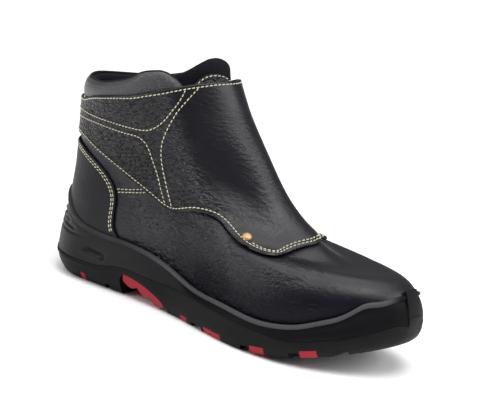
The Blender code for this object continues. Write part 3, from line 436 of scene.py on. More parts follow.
class Last:
    """The boot's forms, worked out from its sizes."""

    ANGLE_STEP = 0.5
    RING_STEP = 0.025

    def __init__(self, sizes):
        self.sizes = sizes
        edge = self.outline(np.arange(0.0, 360.0, 1.0))
        middle_y = (edge[:, 1].max() + edge[:, 1].min()) / 2.0
        self.middle = np.array([sizes.shoe_length / 2.0, middle_y, 0.0])
        angles = np.arange(0.0, 360.0 + self.ANGLE_STEP, self.ANGLE_STEP)
        rings = np.arange(0.0, 11.0 + self.RING_STEP, self.RING_STEP)
        grid = np.repeat(rings[:, None], len(angles), 1)
        around = self.form(angles + 0.4, grid) - self.form(angles - 0.4, grid)
        upward = self.form(angles, grid + 0.02) - self.form(angles, grid - 0.02)
        normal = unit(np.cross(around, upward))
        self.table = np.concatenate([self.form(angles, grid), normal], -1)

    def share_at(self, x):
        """Share of the length at x, from 0 to 1."""
        return np.clip(np.asarray(x, float) / self.sizes.shoe_length, 0.0, 1.0)

    def tread_height(self, x):
        """Height of the tread line above the floor: heel kick, flat, then toe spring."""
        share = self.share_at(x)
        spring = np.clip((share - 0.633) / 0.367, 0.0, None) ** 1.9
        kick = np.clip((0.073 - share) / 0.073, 0.0, None) ** 2
        return self.sizes.toe_spring * spring + self.sizes.heel_kick * kick

    def bed_height(self, x):
        """Height of the foot bed above the floor."""
        share = self.share_at(x)
        return self.tread_height(x) + self.sizes.bed_height * spline(BED, 1, share)

    def plate_height(self, x):
        """Height of the top of the tread plate above the floor."""
        share = self.share_at(x)
        return self.tread_height(x) + self.sizes.bed_height * straight(PLATE, 1, share)

    def outline(self, angle, inset=0.0):
        """Outline of the sole seen from above, moved in by an inset. Rows of x, y."""
        def at(a):
            s = share_along(a)
            ends = rounded_end(s / HEEL_ROUND) * rounded_end((1.0 - s) / TOE_ROUND, 2.15)
            outer = np.mod(a, 360.0) < 180.0
            half = np.where(outer, -spline(OUTLINE, 1, s), spline(OUTLINE, 2, s)) * ends
            y = (half + spline(SOLE_LEAN, 1, s)) * self.sizes.ball_width
            return np.stack([self.sizes.shoe_length * s, y], -1)

        angle = np.asarray(angle, float)
        along = at(angle + 0.5) - at(angle - 0.5)
        out = unit(np.stack([along[:, 1], -along[:, 0]], -1))
        return at(angle) - out * np.asarray(inset, float).reshape(-1, 1)

    def ring_points(self, angle):
        """Points of every ring at the given angles: rings, angles, x y z."""
        size = self.sizes
        s = share_along(angle)
        outer = np.mod(angle, 360.0) < 180.0
        col = {name: RINGS[:, i] for i, name in enumerate(RING_COLUMNS)}
        points = []
        for i in range(len(RINGS)):
            waist = np.where(outer, col["waist_out"][i], col["waist_in"][i])
            ball = np.where(outer, col["ball_out"][i], col["ball_in"][i])
            half = np.zeros_like(s)
            heel = col["heel"][i] * size.heel_width / size.ball_width
            for side in (True, False):
                pick = outer == side
                if pick.any():
                    toe = col["toe"][i]
                    widths = (heel * 0.97, heel, waist[pick][0], ball[pick][0], toe, toe * 0.95)
                    half[pick] = spline(list(zip(RING_STATIONS, widths)), 1, s[pick])
            half = half * rounded_end(s / col["rear_round"][i])
            half = half * rounded_end((1.0 - s) / col["front_round"][i], 2.1)
            x = size.shoe_length * (col["rear_x"][i] + (col["front_x"][i] - col["rear_x"][i]) * s)
            lean = spline(LAST_LEAN, 1, x / size.shoe_length)
            y = (np.where(outer, -half, half) + lean) * size.ball_width
            rise = 3.0 * s**2 - 2.0 * s**3
            z = col["rear_z"][i] + (col["front_z"][i] - col["rear_z"][i]) * rise
            z = size.shaft_height * (z - col["dip"][i] * np.exp(-(((s - 0.66) / 0.2) ** 2)))
            if i == 0:
                z = self.bed_height(x) + size.gap
            points.append(np.stack([x, y, z], -1))
        return np.array(points)

    def form(self, angle, ring):
        """Point of the upper's outside at each angle and ring number.

        Each meridian is a natural cubic spline through its ring points.
        """
        p = self.ring_points(angle)
        count, columns, _ = p.shape
        chord = np.linalg.norm(np.diff(p, axis=0), axis=-1) ** 0.75
        matrix = np.zeros((columns, count, count))
        right = np.zeros((columns, count, 3))
        matrix[:, 0, 0] = 1.0
        matrix[:, -1, -1] = 1.0
        for i in range(1, count - 1):
            matrix[:, i, i - 1] = chord[i - 1]
            matrix[:, i, i] = 2.0 * (chord[i - 1] + chord[i])
            matrix[:, i, i + 1] = chord[i]
            after = (p[i + 1] - p[i]) / chord[i][:, None]
            before = (p[i] - p[i - 1]) / chord[i - 1][:, None]
            right[:, i] = 6.0 * (after - before)
        bend = np.linalg.solve(matrix, right)
        p = p.transpose(1, 0, 2)
        k = np.clip(np.floor(ring).astype(int), 0, count - 2)
        j = np.broadcast_to(np.arange(columns), ring.shape)
        w = chord.T[j, k]
        a = ((ring - k) * w)[..., None]
        w = w[..., None]
        b = w - a
        return (
            bend[j, k] * b**3 / (6 * w) + bend[j, k + 1] * a**3 / (6 * w)
            + (p[j, k] / w - bend[j, k] * w / 6) * b
            + (p[j, k + 1] / w - bend[j, k + 1] * w / 6) * a
        )

    def at(self, angle, ring, out=0.0):
        """Points at (angle, ring), moved out along the normal, around the boot's origin.

        The fine table of points and normals is read with a blend of its four nearest rows.
        """
        point, normal = self.point_and_normal(angle, ring)
        return point + normal * np.asarray(out, float)[..., None] - self.middle

    def point_and_normal(self, angle, ring):
        """The table's point and outward normal at each (angle, ring)."""
        angle, ring = np.broadcast_arrays(np.asarray(angle, float), np.asarray(ring, float))
        u = np.mod(angle, 360.0) / self.ANGLE_STEP
        v = np.clip(ring / self.RING_STEP, 0.0, len(self.table) - 1.001)
        i = np.floor(u).astype(int)
        j = np.floor(v).astype(int)
        fu = (u - i)[..., None]
        fv = (v - j)[..., None]
        t = self.table
        low = t[j, i] * (1 - fu) + t[j, i + 1] * fu
        high = t[j + 1, i] * (1 - fu) + t[j + 1, i + 1] * fu
        both = low * (1 - fv) + high * fv
        return both[..., :3], unit(both[..., 3:])

    def beside(self, line, away, count=160):
        """Places beside a line on the leather: positive is upward for a line that runs to the toe.

        The wanted step across the line is split into its angle and ring parts with the
        two tangents of the form.
        """
        place = curve_through(line, count)
        angle, ring = place[:, 0], place[:, 1]
        along = unit(np.gradient(self.at(angle, ring), axis=0))
        _, normal = self.point_and_normal(angle, ring)
        step = np.cross(normal, along) * away
        turn = (self.at(angle + 0.5, ring) - self.at(angle - 0.5, ring)) / 1.0
        rise = (self.at(angle, ring + 0.05) - self.at(angle, ring - 0.05)) / 0.1
        tt = (turn * turn).sum(1)
        tr = (turn * rise).sum(1)
        rr = (rise * rise).sum(1)
        st = (step * turn).sum(1)
        sr = (step * rise).sum(1)
        whole = tt * rr - tr * tr
        return np.column_stack([
            angle + (st * rr - sr * tr) / whole, ring + (sr * tt - st * tr) / whole,
        ])

    def ring_at_height(self, angle, height):
        """Ring number at which each meridian reaches a height, low on the upper."""
        tries = np.linspace(0.0, 4.0, 161)
        z = self.form(angle, np.repeat(tries[:, None], len(angle), 1))[..., 2]
        return np.array([np.interp(height[i], z[:, i], tries) for i in range(len(angle))])


def near_line(points, line, width):
    """How near points are to a line: exp of minus the squared distance in widths.

    Toward the line's ends the value fades out smoothly.
    """
    flat = points.reshape(-1, 3)
    best = np.full(len(flat), np.inf)
    place = np.zeros(len(flat))
    low = line.min(0) - 3.5 * width
    high = line.max(0) + 3.5 * width
    close = np.where(np.all((flat > low) & (flat < high), axis=1))[0]
    some = flat[close]
    near = best[close]
    where = place[close]
    for k in range(len(line) - 1):
        a = line[k]
        d = line[k + 1] - a
        t = np.clip(((some - a) @ d) / max(float(d @ d), 1e-12), 0.0, 1.0)
        gap = ((some - a - t[:, None] * d) ** 2).sum(1)
        better = gap < near
        near[better] = gap[better]
        where[better] = (k + t[better]) / (len(line) - 1)
    best[close] = near
    place[close] = where
    ends = smooth_step(0.0, 0.22, place) * smooth_step(0.0, 0.22, 1.0 - place)
    value = np.exp(-best / width**2) * ends
    return value.reshape(points.shape[:-1])


def fold_depths(last, points, folds):
    """Sum of soft troughs and ridges beside lines of (angle, ring) places, in metres."""
    depth = np.zeros(points.shape[:-1])
    for line, width, deep in folds:
        for side in (line, mirrored(line)):
            place = curve_through(side, 24)
            path = last.at(place[:, 0], place[:, 1])
            depth -= deep * MM * near_line(points, path, width * MM)
    return depth


def seam_line(last, line, count=160, out=0.0):
    """Points and normals of a seam given by (angle, ring) places."""
    place = curve_through(line, count)
    point, normal = last.point_and_normal(place[:, 0], place[:, 1])
    return point + normal * out - last.middle, normal


def seam_depths(last, points, seams, width=0.0011, deep=0.00045):
    """Shallow grooves that the thread lies in."""
    depth = np.zeros(points.shape[:-1])
    for line in seams:
        path = seam_line(last, line, 90)[0]
        # The first point is doubled: the groove begins to fade a little nearer to its start.
        depth -= deep * near_line(points, np.concatenate([path[:1], path]), width)
    return depth


def bare_object(name, verts, faces):
    """A mesh object in the scene, from arrays of points and faces."""
    mesh = bpy.data.meshes.new(name)
    mesh.from_pydata(np.asarray(verts).reshape(-1, 3).tolist(), [], faces)
    mesh.validate()
    mesh.update()
    item = bpy.data.objects.new(name, mesh)
    bpy.context.scene.collection.objects.link(item)
    return item


def new_object(name, verts, faces, material):
    """A smooth mesh object with its material that rides on the boot."""
    item = bare_object(name, verts, faces)
    item.data.materials.append(material)
    item.data.shade_smooth()
    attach(item, BODY)
    return item


def strip_faces(number, closed=True):
    """Four-cornered faces between neighbouring rows of a grid of vertex numbers."""
    left = np.arange(number.shape[1] if closed else number.shape[1] - 1)
    right = (left + 1) % number.shape[1]
    faces = []
    for near, far in zip(number[:-1], number[1:]):
        faces += np.stack([near[left], near[right], far[right], far[left]], 1).tolist()
    return faces


def add_values(item, name, values):
    """Stores one number for each vertex under a name that a material can read."""
    layer = item.data.attributes.new(name, "FLOAT", "POINT")
    layer.data.foreach_set("value", np.asarray(values, np.float32).reshape(-1))


def shell(name, outer, inner, material, sides=None):
    """Closed sheet with an outer and an inner grid of points, rows by columns.

    Its two ends are closed by faces between the grids, in the rows where sides is true.
    """
    rows, columns, _ = outer.shape
    rows_in = inner.shape[0]
    number_out = np.arange(rows * columns).reshape(rows, columns)
    number_in = rows * columns + np.arange(rows_in * columns).reshape(rows_in, columns)
    faces = strip_faces(np.concatenate([number_out, number_in[::-1], number_out[:1]]), False)
    steps = spread(rows, rows_in)
    for r in range(rows_in - 1):
        if sides is not None and not sides[min(steps[r], rows - 2)]:
            continue
        span = number_out[steps[r]:steps[r + 1] + 1]
        faces.append(span[:, 0].tolist() + number_in[[r + 1, r], 0].tolist())
        faces.append(span[::-1, -1].tolist() + number_in[[r, r + 1], -1].tolist())
    verts = np.concatenate([outer.reshape(-1, 3), inner.reshape(-1, 3)])
    return new_object(name, verts, faces, material)


def edge_shares(length, near, count):
    """Shares along a strip of a given length, close together at both its ends."""
    ends = np.array([0.0, 0.10, 0.28, 0.55, 1.0]) * near / length
    middle = np.linspace(ends[-1], 1.0 - ends[-1], count)
    return np.concatenate([ends[:-1], middle, (1.0 - ends[:-1])[::-1]])


def rounded_offset(distance, wall):
    """How much of half the wall is left at a distance from a rounded edge."""
    t = np.clip(distance / (wall * 0.5), 0.0, 1.0)
    return np.sqrt(np.clip(1.0 - (1.0 - t) ** 2, 0.0, 1.0))


def threads(name, lines, sizes):
    """Rows of stitches. Each stitch is a short capsule that dips into the leather at its ends.

    Along a stitch the centre rises like half a sine wave and the radius follows an oval.
    """
    rings = 7
    sides = 6
    t = np.linspace(0.0, 1.0, rings)
    turn = np.linspace(0.0, 2.0 * math.pi, sides, endpoint=False)
    radius = sizes.thread_width / 2.0 * np.sqrt(np.clip(1.0 - (2.0 * t - 1.0) ** 4, 0.02, 1.0))
    lift = sizes.thread_width * (0.62 * np.sin(math.pi * t) - 0.20)
    verts = []
    for path, normal in lines:
        along = run_along(path)
        count = max(1, int(along[-1] / sizes.stitch_pitch))
        starts = (np.arange(count) + 0.5) * along[-1] / count
        at = starts[:, None] + (t - 0.5)[None, :] * sizes.stitch_length
        at = np.clip(at, 0.0, along[-1])
        point = np.stack([np.interp(at, along, path[:, i]) for i in range(3)], -1)
        up = unit(np.stack([np.interp(at, along, normal[:, i]) for i in range(3)], -1))
        ahead = unit(point[:, -1:] - point[:, :1])
        side = unit(np.cross(up, np.broadcast_to(ahead, up.shape)))
        skew = 0.10 * sizes.stitch_length * (t - 0.5)
        centre = point + up * lift[None, :, None] + side * skew[None, :, None]
        ring = (
            side[:, :, None, :] * np.cos(turn)[None, None, :, None]
            + up[:, :, None, :] * np.sin(turn)[None, None, :, None]
        )
        verts.append((centre[:, :, None, :] + ring * radius[None, :, None, None]).reshape(-1, 3))
    verts = np.concatenate(verts)
    total = len(verts) // (rings * sides)
    number = np.arange(rings * sides).reshape(rings, sides)
    base = [(a, d, c, b) for a, b, c, d in strip_faces(number)]
    caps = [number[0].tolist(), number[-1, ::-1].tolist()]
    faces = []
    for i in range(total):
        shift = i * rings * sides
        faces += [tuple(shift + v for v in face) for face in base + caps]
    return new_object(name, verts, faces, look("thread"))


def tube(name, path, normal, radius, material):
    """Round bead along a path."""
    sides = 10
    ahead = unit(np.gradient(path, axis=0))
    side = unit(np.cross(normal, ahead))
    up = np.cross(ahead, side)
    turn = np.linspace(0.0, 2.0 * math.pi, sides, endpoint=False)
    ring = side[:, None] * np.cos(turn)[None, :, None] + up[:, None] * np.sin(turn)[None, :, None]
    number = np.arange(len(path) * sides).reshape(len(path), sides)
    faces = strip_faces(number) + [number[0, ::-1].tolist(), number[-1].tolist()]
    return new_object(name, path[:, None] + ring * radius, faces, material)


class Nodes:
    """Short ways to add and join the nodes of one material."""

    def __init__(self, name, colour):
        self.material = bpy.data.materials.new(name)
        self.material.use_nodes = True
        self.tree = self.material.node_tree
        self.shader = self.tree.nodes["Principled BSDF"]
        self.set(Base_Color=(*colour, 1.0))

    def add(self, kind, **values):
        """Adds a node and sets its settings, and its inputs where the name is an input's."""
        node = self.tree.nodes.new(kind)
        for key, value in values.items():
            if hasattr(node, key):
                setattr(node, key, value)
            else:
                node.inputs[key.replace("_", " ")].default_value = value
        return node

    def link(self, out, into):
        """Joins an output to an input."""
        self.tree.links.new(out, into)

    def set(self, **values):
        """Sets the shader's own sockets."""
        for key, value in values.items():
            self.shader.inputs[key.replace("_", " ")].default_value = value

    def math(self, operation, a, b):
        """Adds a sum of two values, each a number or an output."""
        node = self.tree.nodes.new("ShaderNodeMath")
        node.operation = operation
        for i, value in enumerate((a, b)):
            if isinstance(value, (int, float)):
                node.inputs[i].default_value = value
            else:
                self.link(value, node.inputs[i])
        return node.outputs[0]

    def place(self, stretch=(1.0, 1.0, 1.0)):
        """Object coordinates, stretched."""
        where = self.tree.nodes.new("ShaderNodeTexCoord")
        scale = self.add("ShaderNodeMapping", Scale=stretch)
        self.link(where.outputs["Object"], scale.inputs["Vector"])
        return scale.outputs["Vector"]

    def noise(self, place, scale, detail=3.0, rough=0.55):
        """A noise value between 0 and 1."""
        node = self.add("ShaderNodeTexNoise", Scale=scale, Detail=detail, Roughness=rough)
        self.link(place, node.inputs["Vector"])
        return node.outputs[0]

    def ramp(self, value, low, high, first=0.0, last=1.0):
        """A value mapped smoothly from one range to another."""
        node = self.add("ShaderNodeMapRange", interpolation_type="SMOOTHSTEP", From_Min=low,
                        From_Max=high, To_Min=first, To_Max=last)
        self.link(value, node.inputs["Value"])
        return node.outputs["Result"]

    def bump(self, height, distance, strength=1.0, before=None):
        """A bump of a height in metres, on top of another bump."""
        node = self.tree.nodes.new("ShaderNodeBump")
        node.inputs["Distance"].default_value = distance
        if isinstance(strength, (int, float)):
            node.inputs["Strength"].default_value = strength
        else:
            self.link(strength, node.inputs["Strength"])
        self.link(height, node.inputs["Height"])
        if before is not None:
            self.link(before, node.inputs["Normal"])
        return node.outputs["Normal"]

    def uneven(self, place, scale, low, high):
        """Roughness that changes in patches between two values."""
        shade = self.ramp(self.noise(place, scale, 3.0), 0.3, 0.7, low, high)
        self.link(shade, self.shader.inputs["Roughness"])

    def gloss(self, specular):
        """Specular level scaled by the gloss value stored for each vertex, which paints shade and
        highlight into the reflection.
        """
        level = self.math("MULTIPLY", self.value("gloss"), specular)
        self.link(level, self.shader.inputs["Specular IOR Level"])

    def value(self, name):
        """A number stored for each vertex."""
        return self.add("ShaderNodeAttribute", attribute_name=name).outputs["Fac"]


def leather(name, colour, grain, grain_depth, rough, specular=0.40):
    """Pigmented leather: wrinkled pebble grain, finer pores and uneven gloss."""
    n = Nodes(name, colour)
    place = n.place()
    warp = n.add("ShaderNodeTexNoise", Scale=160.0, Detail=2.0)
    n.link(place, warp.inputs["Vector"])
    mix = n.tree.nodes.new("ShaderNodeMix")
    mix.data_type = "VECTOR"
    mix.inputs["Factor"].default_value = 0.0016
    n.link(place, mix.inputs[4])
    n.link(warp.outputs["Color"], mix.inputs[5])
    longer = n.add("ShaderNodeMapping", Scale=(0.55, 0.55, 1.15))
    n.link(mix.outputs[1], longer.inputs["Vector"])
    cells = n.add("ShaderNodeTexVoronoi", feature="DISTANCE_TO_EDGE", Scale=1.0 / grain)
    n.link(longer.outputs["Vector"], cells.inputs["Vector"])
    pebble = n.ramp(cells.outputs["Distance"], 0.0, 0.24)
    wrinkle = n.ramp(n.noise(longer.outputs["Vector"], 1.2 / grain, 2.0), 0.36, 0.64)
    patches = n.ramp(n.noise(place, 26.0, 2.0), 0.35, 0.65, 0.55, 1.0)
    # Where the grain is weak the pebbles fade before the wrinkles do.
    pebble = n.math("MULTIPLY", pebble, n.value("grain"))
    height = n.math("ADD", n.math("MULTIPLY", pebble, 0.85), n.math("MULTIPLY", wrinkle, 0.52))
    strength = n.math("MULTIPLY", patches, n.value("grain"))
    first = n.bump(height, grain_depth, strength)
    fine = n.bump(n.noise(place, 2400.0, 2.0), 0.00005, 0.5, first)
    n.link(fine, n.shader.inputs["Normal"])
    n.uneven(place, 34.0, rough - 0.05, rough + 0.06)
    n.gloss(specular)
    return n.material


def textile(name, colour, pitch, depth):
    """Knitted lining: two crossing waves as a bump, no gloss, a little sheen."""
    n = Nodes(name, colour)
    place = n.place()
    heights = []
    for direction in ("X", "Z"):
        wave = n.add("ShaderNodeTexWave", wave_type="BANDS", bands_direction=direction,
                     Scale=0.31416 / pitch, Distortion=1.2, Detail=1.0)
        n.link(place, wave.inputs["Vector"])
        heights.append(wave.outputs["Fac"])
    height = n.math("MULTIPLY", heights[0], heights[1])
    n.link(n.bump(height, depth, 0.8), n.shader.inputs["Normal"])
    n.set(Roughness=0.92, Specular_IOR_Level=0.2)
    return n.material


def moulded(name, colour, rough, edge=None, specular=0.16):
    """Moulded sole material: even and matt with a very fine texture, with a painted highlight along
    an edge.
    """
    n = Nodes(name, colour)
    # The lighter colour blended in by the edge value is a painted highlight on the bead.
    if edge is not None:
        mix = n.tree.nodes.new("ShaderNodeMix")
        mix.data_type = "RGBA"
        mix.inputs[6].default_value = (*colour, 1.0)
        mix.inputs[7].default_value = (*edge, 1.0)
        n.link(n.value("edge"), mix.inputs[0])
        n.link(mix.outputs[2], n.shader.inputs["Base Color"])
    place = n.place()
    n.link(n.bump(n.noise(place, 1500.0, 3.0), 0.00006, 0.5), n.shader.inputs["Normal"])
    n.uneven(place, 45.0, rough - 0.05, rough + 0.05)
    n.set(Specular_IOR_Level=specular)
    if edge is not None:
        n.gloss(specular)
    return n.material


def thread_look(name, colour):
    """Twisted sewing thread: slanted fine waves, matt."""
    n = Nodes(name, colour)
    place = n.place((1.0, 0.4, 1.0))
    wave = n.add("ShaderNodeTexWave", wave_type="BANDS", bands_direction="DIAGONAL", Scale=700.0)
    n.link(place, wave.inputs["Vector"])
    n.link(n.bump(wave.outputs["Fac"], 0.00012, 0.6), n.shader.inputs["Normal"])
    n.set(Roughness=0.75, Sheen_Weight=0.1)
    return n.material


def brass(name, colour):
    """Warm metal with a slightly worn gloss."""
    n = Nodes(name, colour)
    n.uneven(n.place(), 900.0, 0.52, 0.68)
    n.set(Metallic=1.0)
    return n.material


def plain(name, colour, rough):
    """Even material for the floor."""
    n = Nodes(name, colour)
    n.set(Roughness=rough)
    return n.material


LOOKS = {}


def look(name):
    """The material of a name, made from the colours on first use."""
    if name not in LOOKS:
        colours = bpy.context.scene.boot_colours
        grain = bpy.context.scene.boot_sizes.grain_size
        make, *settings = {
            "grain_leather": (leather, colours.leather, grain, 0.0020, 0.38),
            "smooth_leather": (leather, colours.smooth_leather, 0.0016, 0.00030, 0.46, 0.26),
            "collar_leather": (leather, colours.collar, 0.0016, 0.00030, 0.38, 0.60),
            "lining": (textile, colours.textile, 0.0012, 0.0003),
            "piping": (textile, (0.010, 0.010, 0.011), 0.0009, 0.0002),
            # The cup's second colour is a painted highlight on its bead.
            "cup": (moulded, colours.sole, 0.47, colours.bead),
            "tread": (moulded, colours.tread, 0.55, None, 0.12),
            "insert": (moulded, colours.insert, 0.45),
            "thread": (thread_look, colours.thread),
            "rivet": (brass, colours.rivet),
        }[name]
        LOOKS[name] = make(name, *settings)
    return LOOKS[name]


def colour_property(label, words, value):
    """A colour that can be changed in the panel."""
    return FloatVectorProperty(
        name=label, description=words, default=value, subtype="COLOR", size=3, min=0.0, max=1.0
    )


def length_property(label, words, value):
    """A length that can be changed in the panel."""
    return FloatProperty(
        name=label, description=words, default=value, min=0.0, unit="LENGTH", precision=4
    )


class BootSizes(bpy.types.PropertyGroup):
    """Sizes of the boot in metres."""

    shoe_length: length_property("Length", "Length of the sole", 0.300)
    ball_width: length_property("Ball width", "Width of the sole at the ball", 0.108)
    heel_width: length_property("Heel width", "Width of the heel", 0.078)
    shaft_height: length_property("Shaft height", "Height of the flap's upper edge in front", 0.164)
    toe_spring: length_property("Toe spring", "Rise of the tread at the toe", 0.026)
    heel_kick: length_property("Heel kick", "Rise of the tread at the back of the heel", 0.004)
    bed_height: length_property("Bed height", "Height of the foot bed at the heel", 0.026)
    gap: length_property("Gap", "Small gap between pieces that meet", 0.0003)
    leather: length_property("Leather", "Thickness of the upper's leather", 0.0014)
    flap_wall: length_property("Flap leather", "Thickness of the flap", 0.0020)
    flap_gap: length_property("Flap gap", "Space between the upper and the flap", 0.0010)
    counter_wall: length_property("Counter leather", "Thickness of the heel counter", 0.0015)
    collar_pad: length_property("Collar pad", "Thickness of the padded collar", 0.0060)
    tongue_wall: length_property("Tongue pad", "Thickness of the tongue", 0.0050)
    rim_wall: length_property("Sole wall", "Thickness of the sole's side wall", 0.0026)
    bead_height: length_property("Bead height", "Height of the bead along the sole's wall", 0.0032)
    grain_size: length_property("Grain size", "Height of one pebble of the leather's grain", 0.0031)
    stitch_pitch: length_property("Stitch pitch", "Distance from stitch to stitch", 0.0031)
    stitch_length: length_property("Stitch length", "Length of a stitch that shows", 0.0025)
    thread_width: length_property("Thread width", "Thickness of the sewing thread", 0.00074)
    rivet_width: length_property("Rivet width", "Width of the domed rivets", 0.0072)


class BootColours(bpy.types.PropertyGroup):
    """Colours of the boot."""

    leather: colour_property("Leather", "Leather of the upper and flap", (0.0040, 0.0037, 0.0070))
    smooth_leather: colour_property("Smooth leather", "Heel counter", (0.0045, 0.0043, 0.0065))
    collar: colour_property("Collar", "Padded collar", (0.0290, 0.0290, 0.0335))
    textile: colour_property("Textile", "Lining and tongue", (0.0040, 0.0036, 0.0062))
    sole: colour_property("Sole", "Cup of the sole", (0.0060, 0.0060, 0.0072))
    # Painted highlight: the bead's lighter colour stands in for the top light that its upward face
    # reflects.
    bead: colour_property("Bead", "Bead along the sole's wall", (0.060, 0.060, 0.064))
    tread: colour_property("Tread", "Tread of the sole", (0.0045, 0.0046, 0.0052))
    insert: colour_property("Inserts", "Coloured blocks of the sole", (0.300, 0.016, 0.028))
    thread: colour_property("Thread", "Sewing thread", (0.620, 0.580, 0.430))
    rivet: colour_property("Rivets", "Domed rivets", (0.520, 0.340, 0.190))
    floor: colour_property("Floor", "Floor and backdrop", (0.95, 0.95, 0.95))


LASTS = {}


class Builder:
    """Runs an operator's build function on the form for the panel's sizes."""

    def execute(self, context):
        self.build(current_last(context), context.scene.boot_sizes)
        return {"FINISHED"}


def current_last(context):
    """The form for the sizes in the panel, kept while they stay the same."""
    sizes = context.scene.boot_sizes
    key = (
        sizes.shoe_length, sizes.ball_width, sizes.heel_width, sizes.shaft_height,
        sizes.toe_spring, sizes.heel_kick, sizes.bed_height,
    )
    if key not in LASTS:
        LASTS[key] = Last(sizes)
    return LASTS[key]


def flap_top_ring(angle):
    """Ring number of the flap's upper edge at angles from the heel."""
    return eased(FLAP_HIGH, 1, np.clip(folded(angle), 15.0, 180.0))


def throat_angles(angle, ring):
    """Angles moved aside around the throat slot; angle runs from -180 to 180."""
    slot = np.interp(ring, [r[0] for r in THROAT], [r[1] for r in THROAT])
    turned = np.abs(angle) - SLOT_ZONE
    room = 180.0 - SLOT_ZONE
    moved = np.where(turned > 0, SLOT_ZONE + turned * (room - slot) / room, np.abs(angle))
    return np.sign(angle) * moved, slot


def upper_grain(angle, ring):
    """How strong the grain is: weak on the toe and the smooth quarter, strong at the side."""
    a = folded(angle)
    toe = 1.0 - 0.55 * smooth_step(96, 118, a) - 0.33 * smooth_step(124, 152, a)
    back = 0.30 + 0.70 * smooth_step(56, 74, a)
    high = 1.0 - 0.6 * smooth_step(3.6, 4.4, ring) * (1.0 - smooth_step(70, 84, a))
    return 0.65 * toe * back * high


def upper_gloss_shade(angle, ring):
    """Painted shade on the upper: its specular level falls close above the sole, from the quarter
    to the toe, where the leather turns under away from the top light.
    """
    a = folded(angle)
    low = 1.0 - smooth_step(1.2, 2.9, ring)
    return 1.0 - 0.75 * low * smooth_step(66, 92, a) * (1.0 - 0.6 * smooth_step(140, 165, a))


class BOOT_OT_quarters(Builder, bpy.types.Operator):
    """Build the vamp and quarters: one leather shell with the throat slot and soft creases"""

    bl_idname = "boot.quarters"
    bl_label = "Vamp and quarters"

    def build(self, last, sizes):
        angle = np.linspace(-180.0, 180.0, 401)
        rim = eased(COLLAR_RIM, 1, np.abs(angle))
        top = np.minimum(rim - 0.02, flap_top_ring(angle) - 0.34)
        share = np.linspace(0.0, 1.0, 118)[:, None]
        ring = 0.10 + (top - 0.10)[None, :] * share
        around, slot = throat_angles(np.broadcast_to(angle, ring.shape), ring)
        points = last.at(around, ring)
        relief = fold_depths(last, points, UPPER_FOLDS)
        relief += seam_depths(last, points, (SEAM_SIDE, mirrored(SEAM_SIDE)), 0.0030, 0.0004)
        outer = last.at(around, ring, relief)
        rows = np.arange(0, len(ring), 3)
        inner = last.at(around[rows], ring[rows], -sizes.leather)
        sides = [bool(s > 0.0) for s in slot[:, 0]]
        item = shell("quarters", outer, inner, look("grain_leather"),
                     sides=sides)
        weld(item)
        inside = inner[..., 0].size
        # The gloss values darken the reflection low on the upper: painted shade.
        add_values_by_place(
            item, np.concatenate([outer.reshape(-1, 3), inner.reshape(-1, 3)]),
            grain=np.concatenate([upper_grain(around, ring).ravel(), np.zeros(inside)]),
            gloss=np.concatenate([upper_gloss_shade(around, ring).ravel(), np.ones(inside)]),
        )
        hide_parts("upper")


def weld(item):
    """Joins vertices that lie in one place."""
    bm = bmesh.new()
    bm.from_mesh(item.data)
    bmesh.ops.remove_doubles(bm, verts=bm.verts, dist=1e-6)
    bm.to_mesh(item.data)
    bm.free()
    item.data.shade_smooth()


def add_values_by_place(item, points, **named):
    """Stores values by matching each vertex to the point it was made from.

    A vertex that welding has moved matches no point and gets 0.5.
    """
    places = {tuple(np.round(p, 6)): i for i, p in enumerate(points.tolist())}
    co = np.zeros(len(item.data.vertices) * 3)
    item.data.vertices.foreach_get("co", co)
    found = [places.get(tuple(np.round(p, 6)), -1) for p in co.reshape(-1, 3).tolist()]
    for name, values in named.items():
        add_values(item, name, np.append(values, 0.5)[found])


def leather_values(item, grain):
    """Stores the grain of a piece's outer side, none for the vertices left, and a full gloss value,
    with no painted shade.
    """
    values = np.zeros(len(item.data.vertices))
    values[:grain.size] = grain.ravel()
    add_values(item, "grain", values)
    add_values(item, "gloss", np.ones(len(values)))


def between(low, high, share):
    """Angles and rings of a grid between a lower and an upper line of places."""
    return [low[None, :, i] + (high[:, i] - low[:, i])[None, :] * share for i in (0, 1)]


def both_sides(last, around, ring, sheet, left, relief, count):
    """Outer and inner points of a sheet, given by its gap to the upper and its thickness."""
    gap, half = sheet[0], sheet[1] * 0.5
    outer = last.at(around, ring, gap + half + half * left + relief)
    rows = spread(len(ring), count)
    return outer, last.at(around[rows], ring[rows], gap + half - half * left[rows] * 0.9)


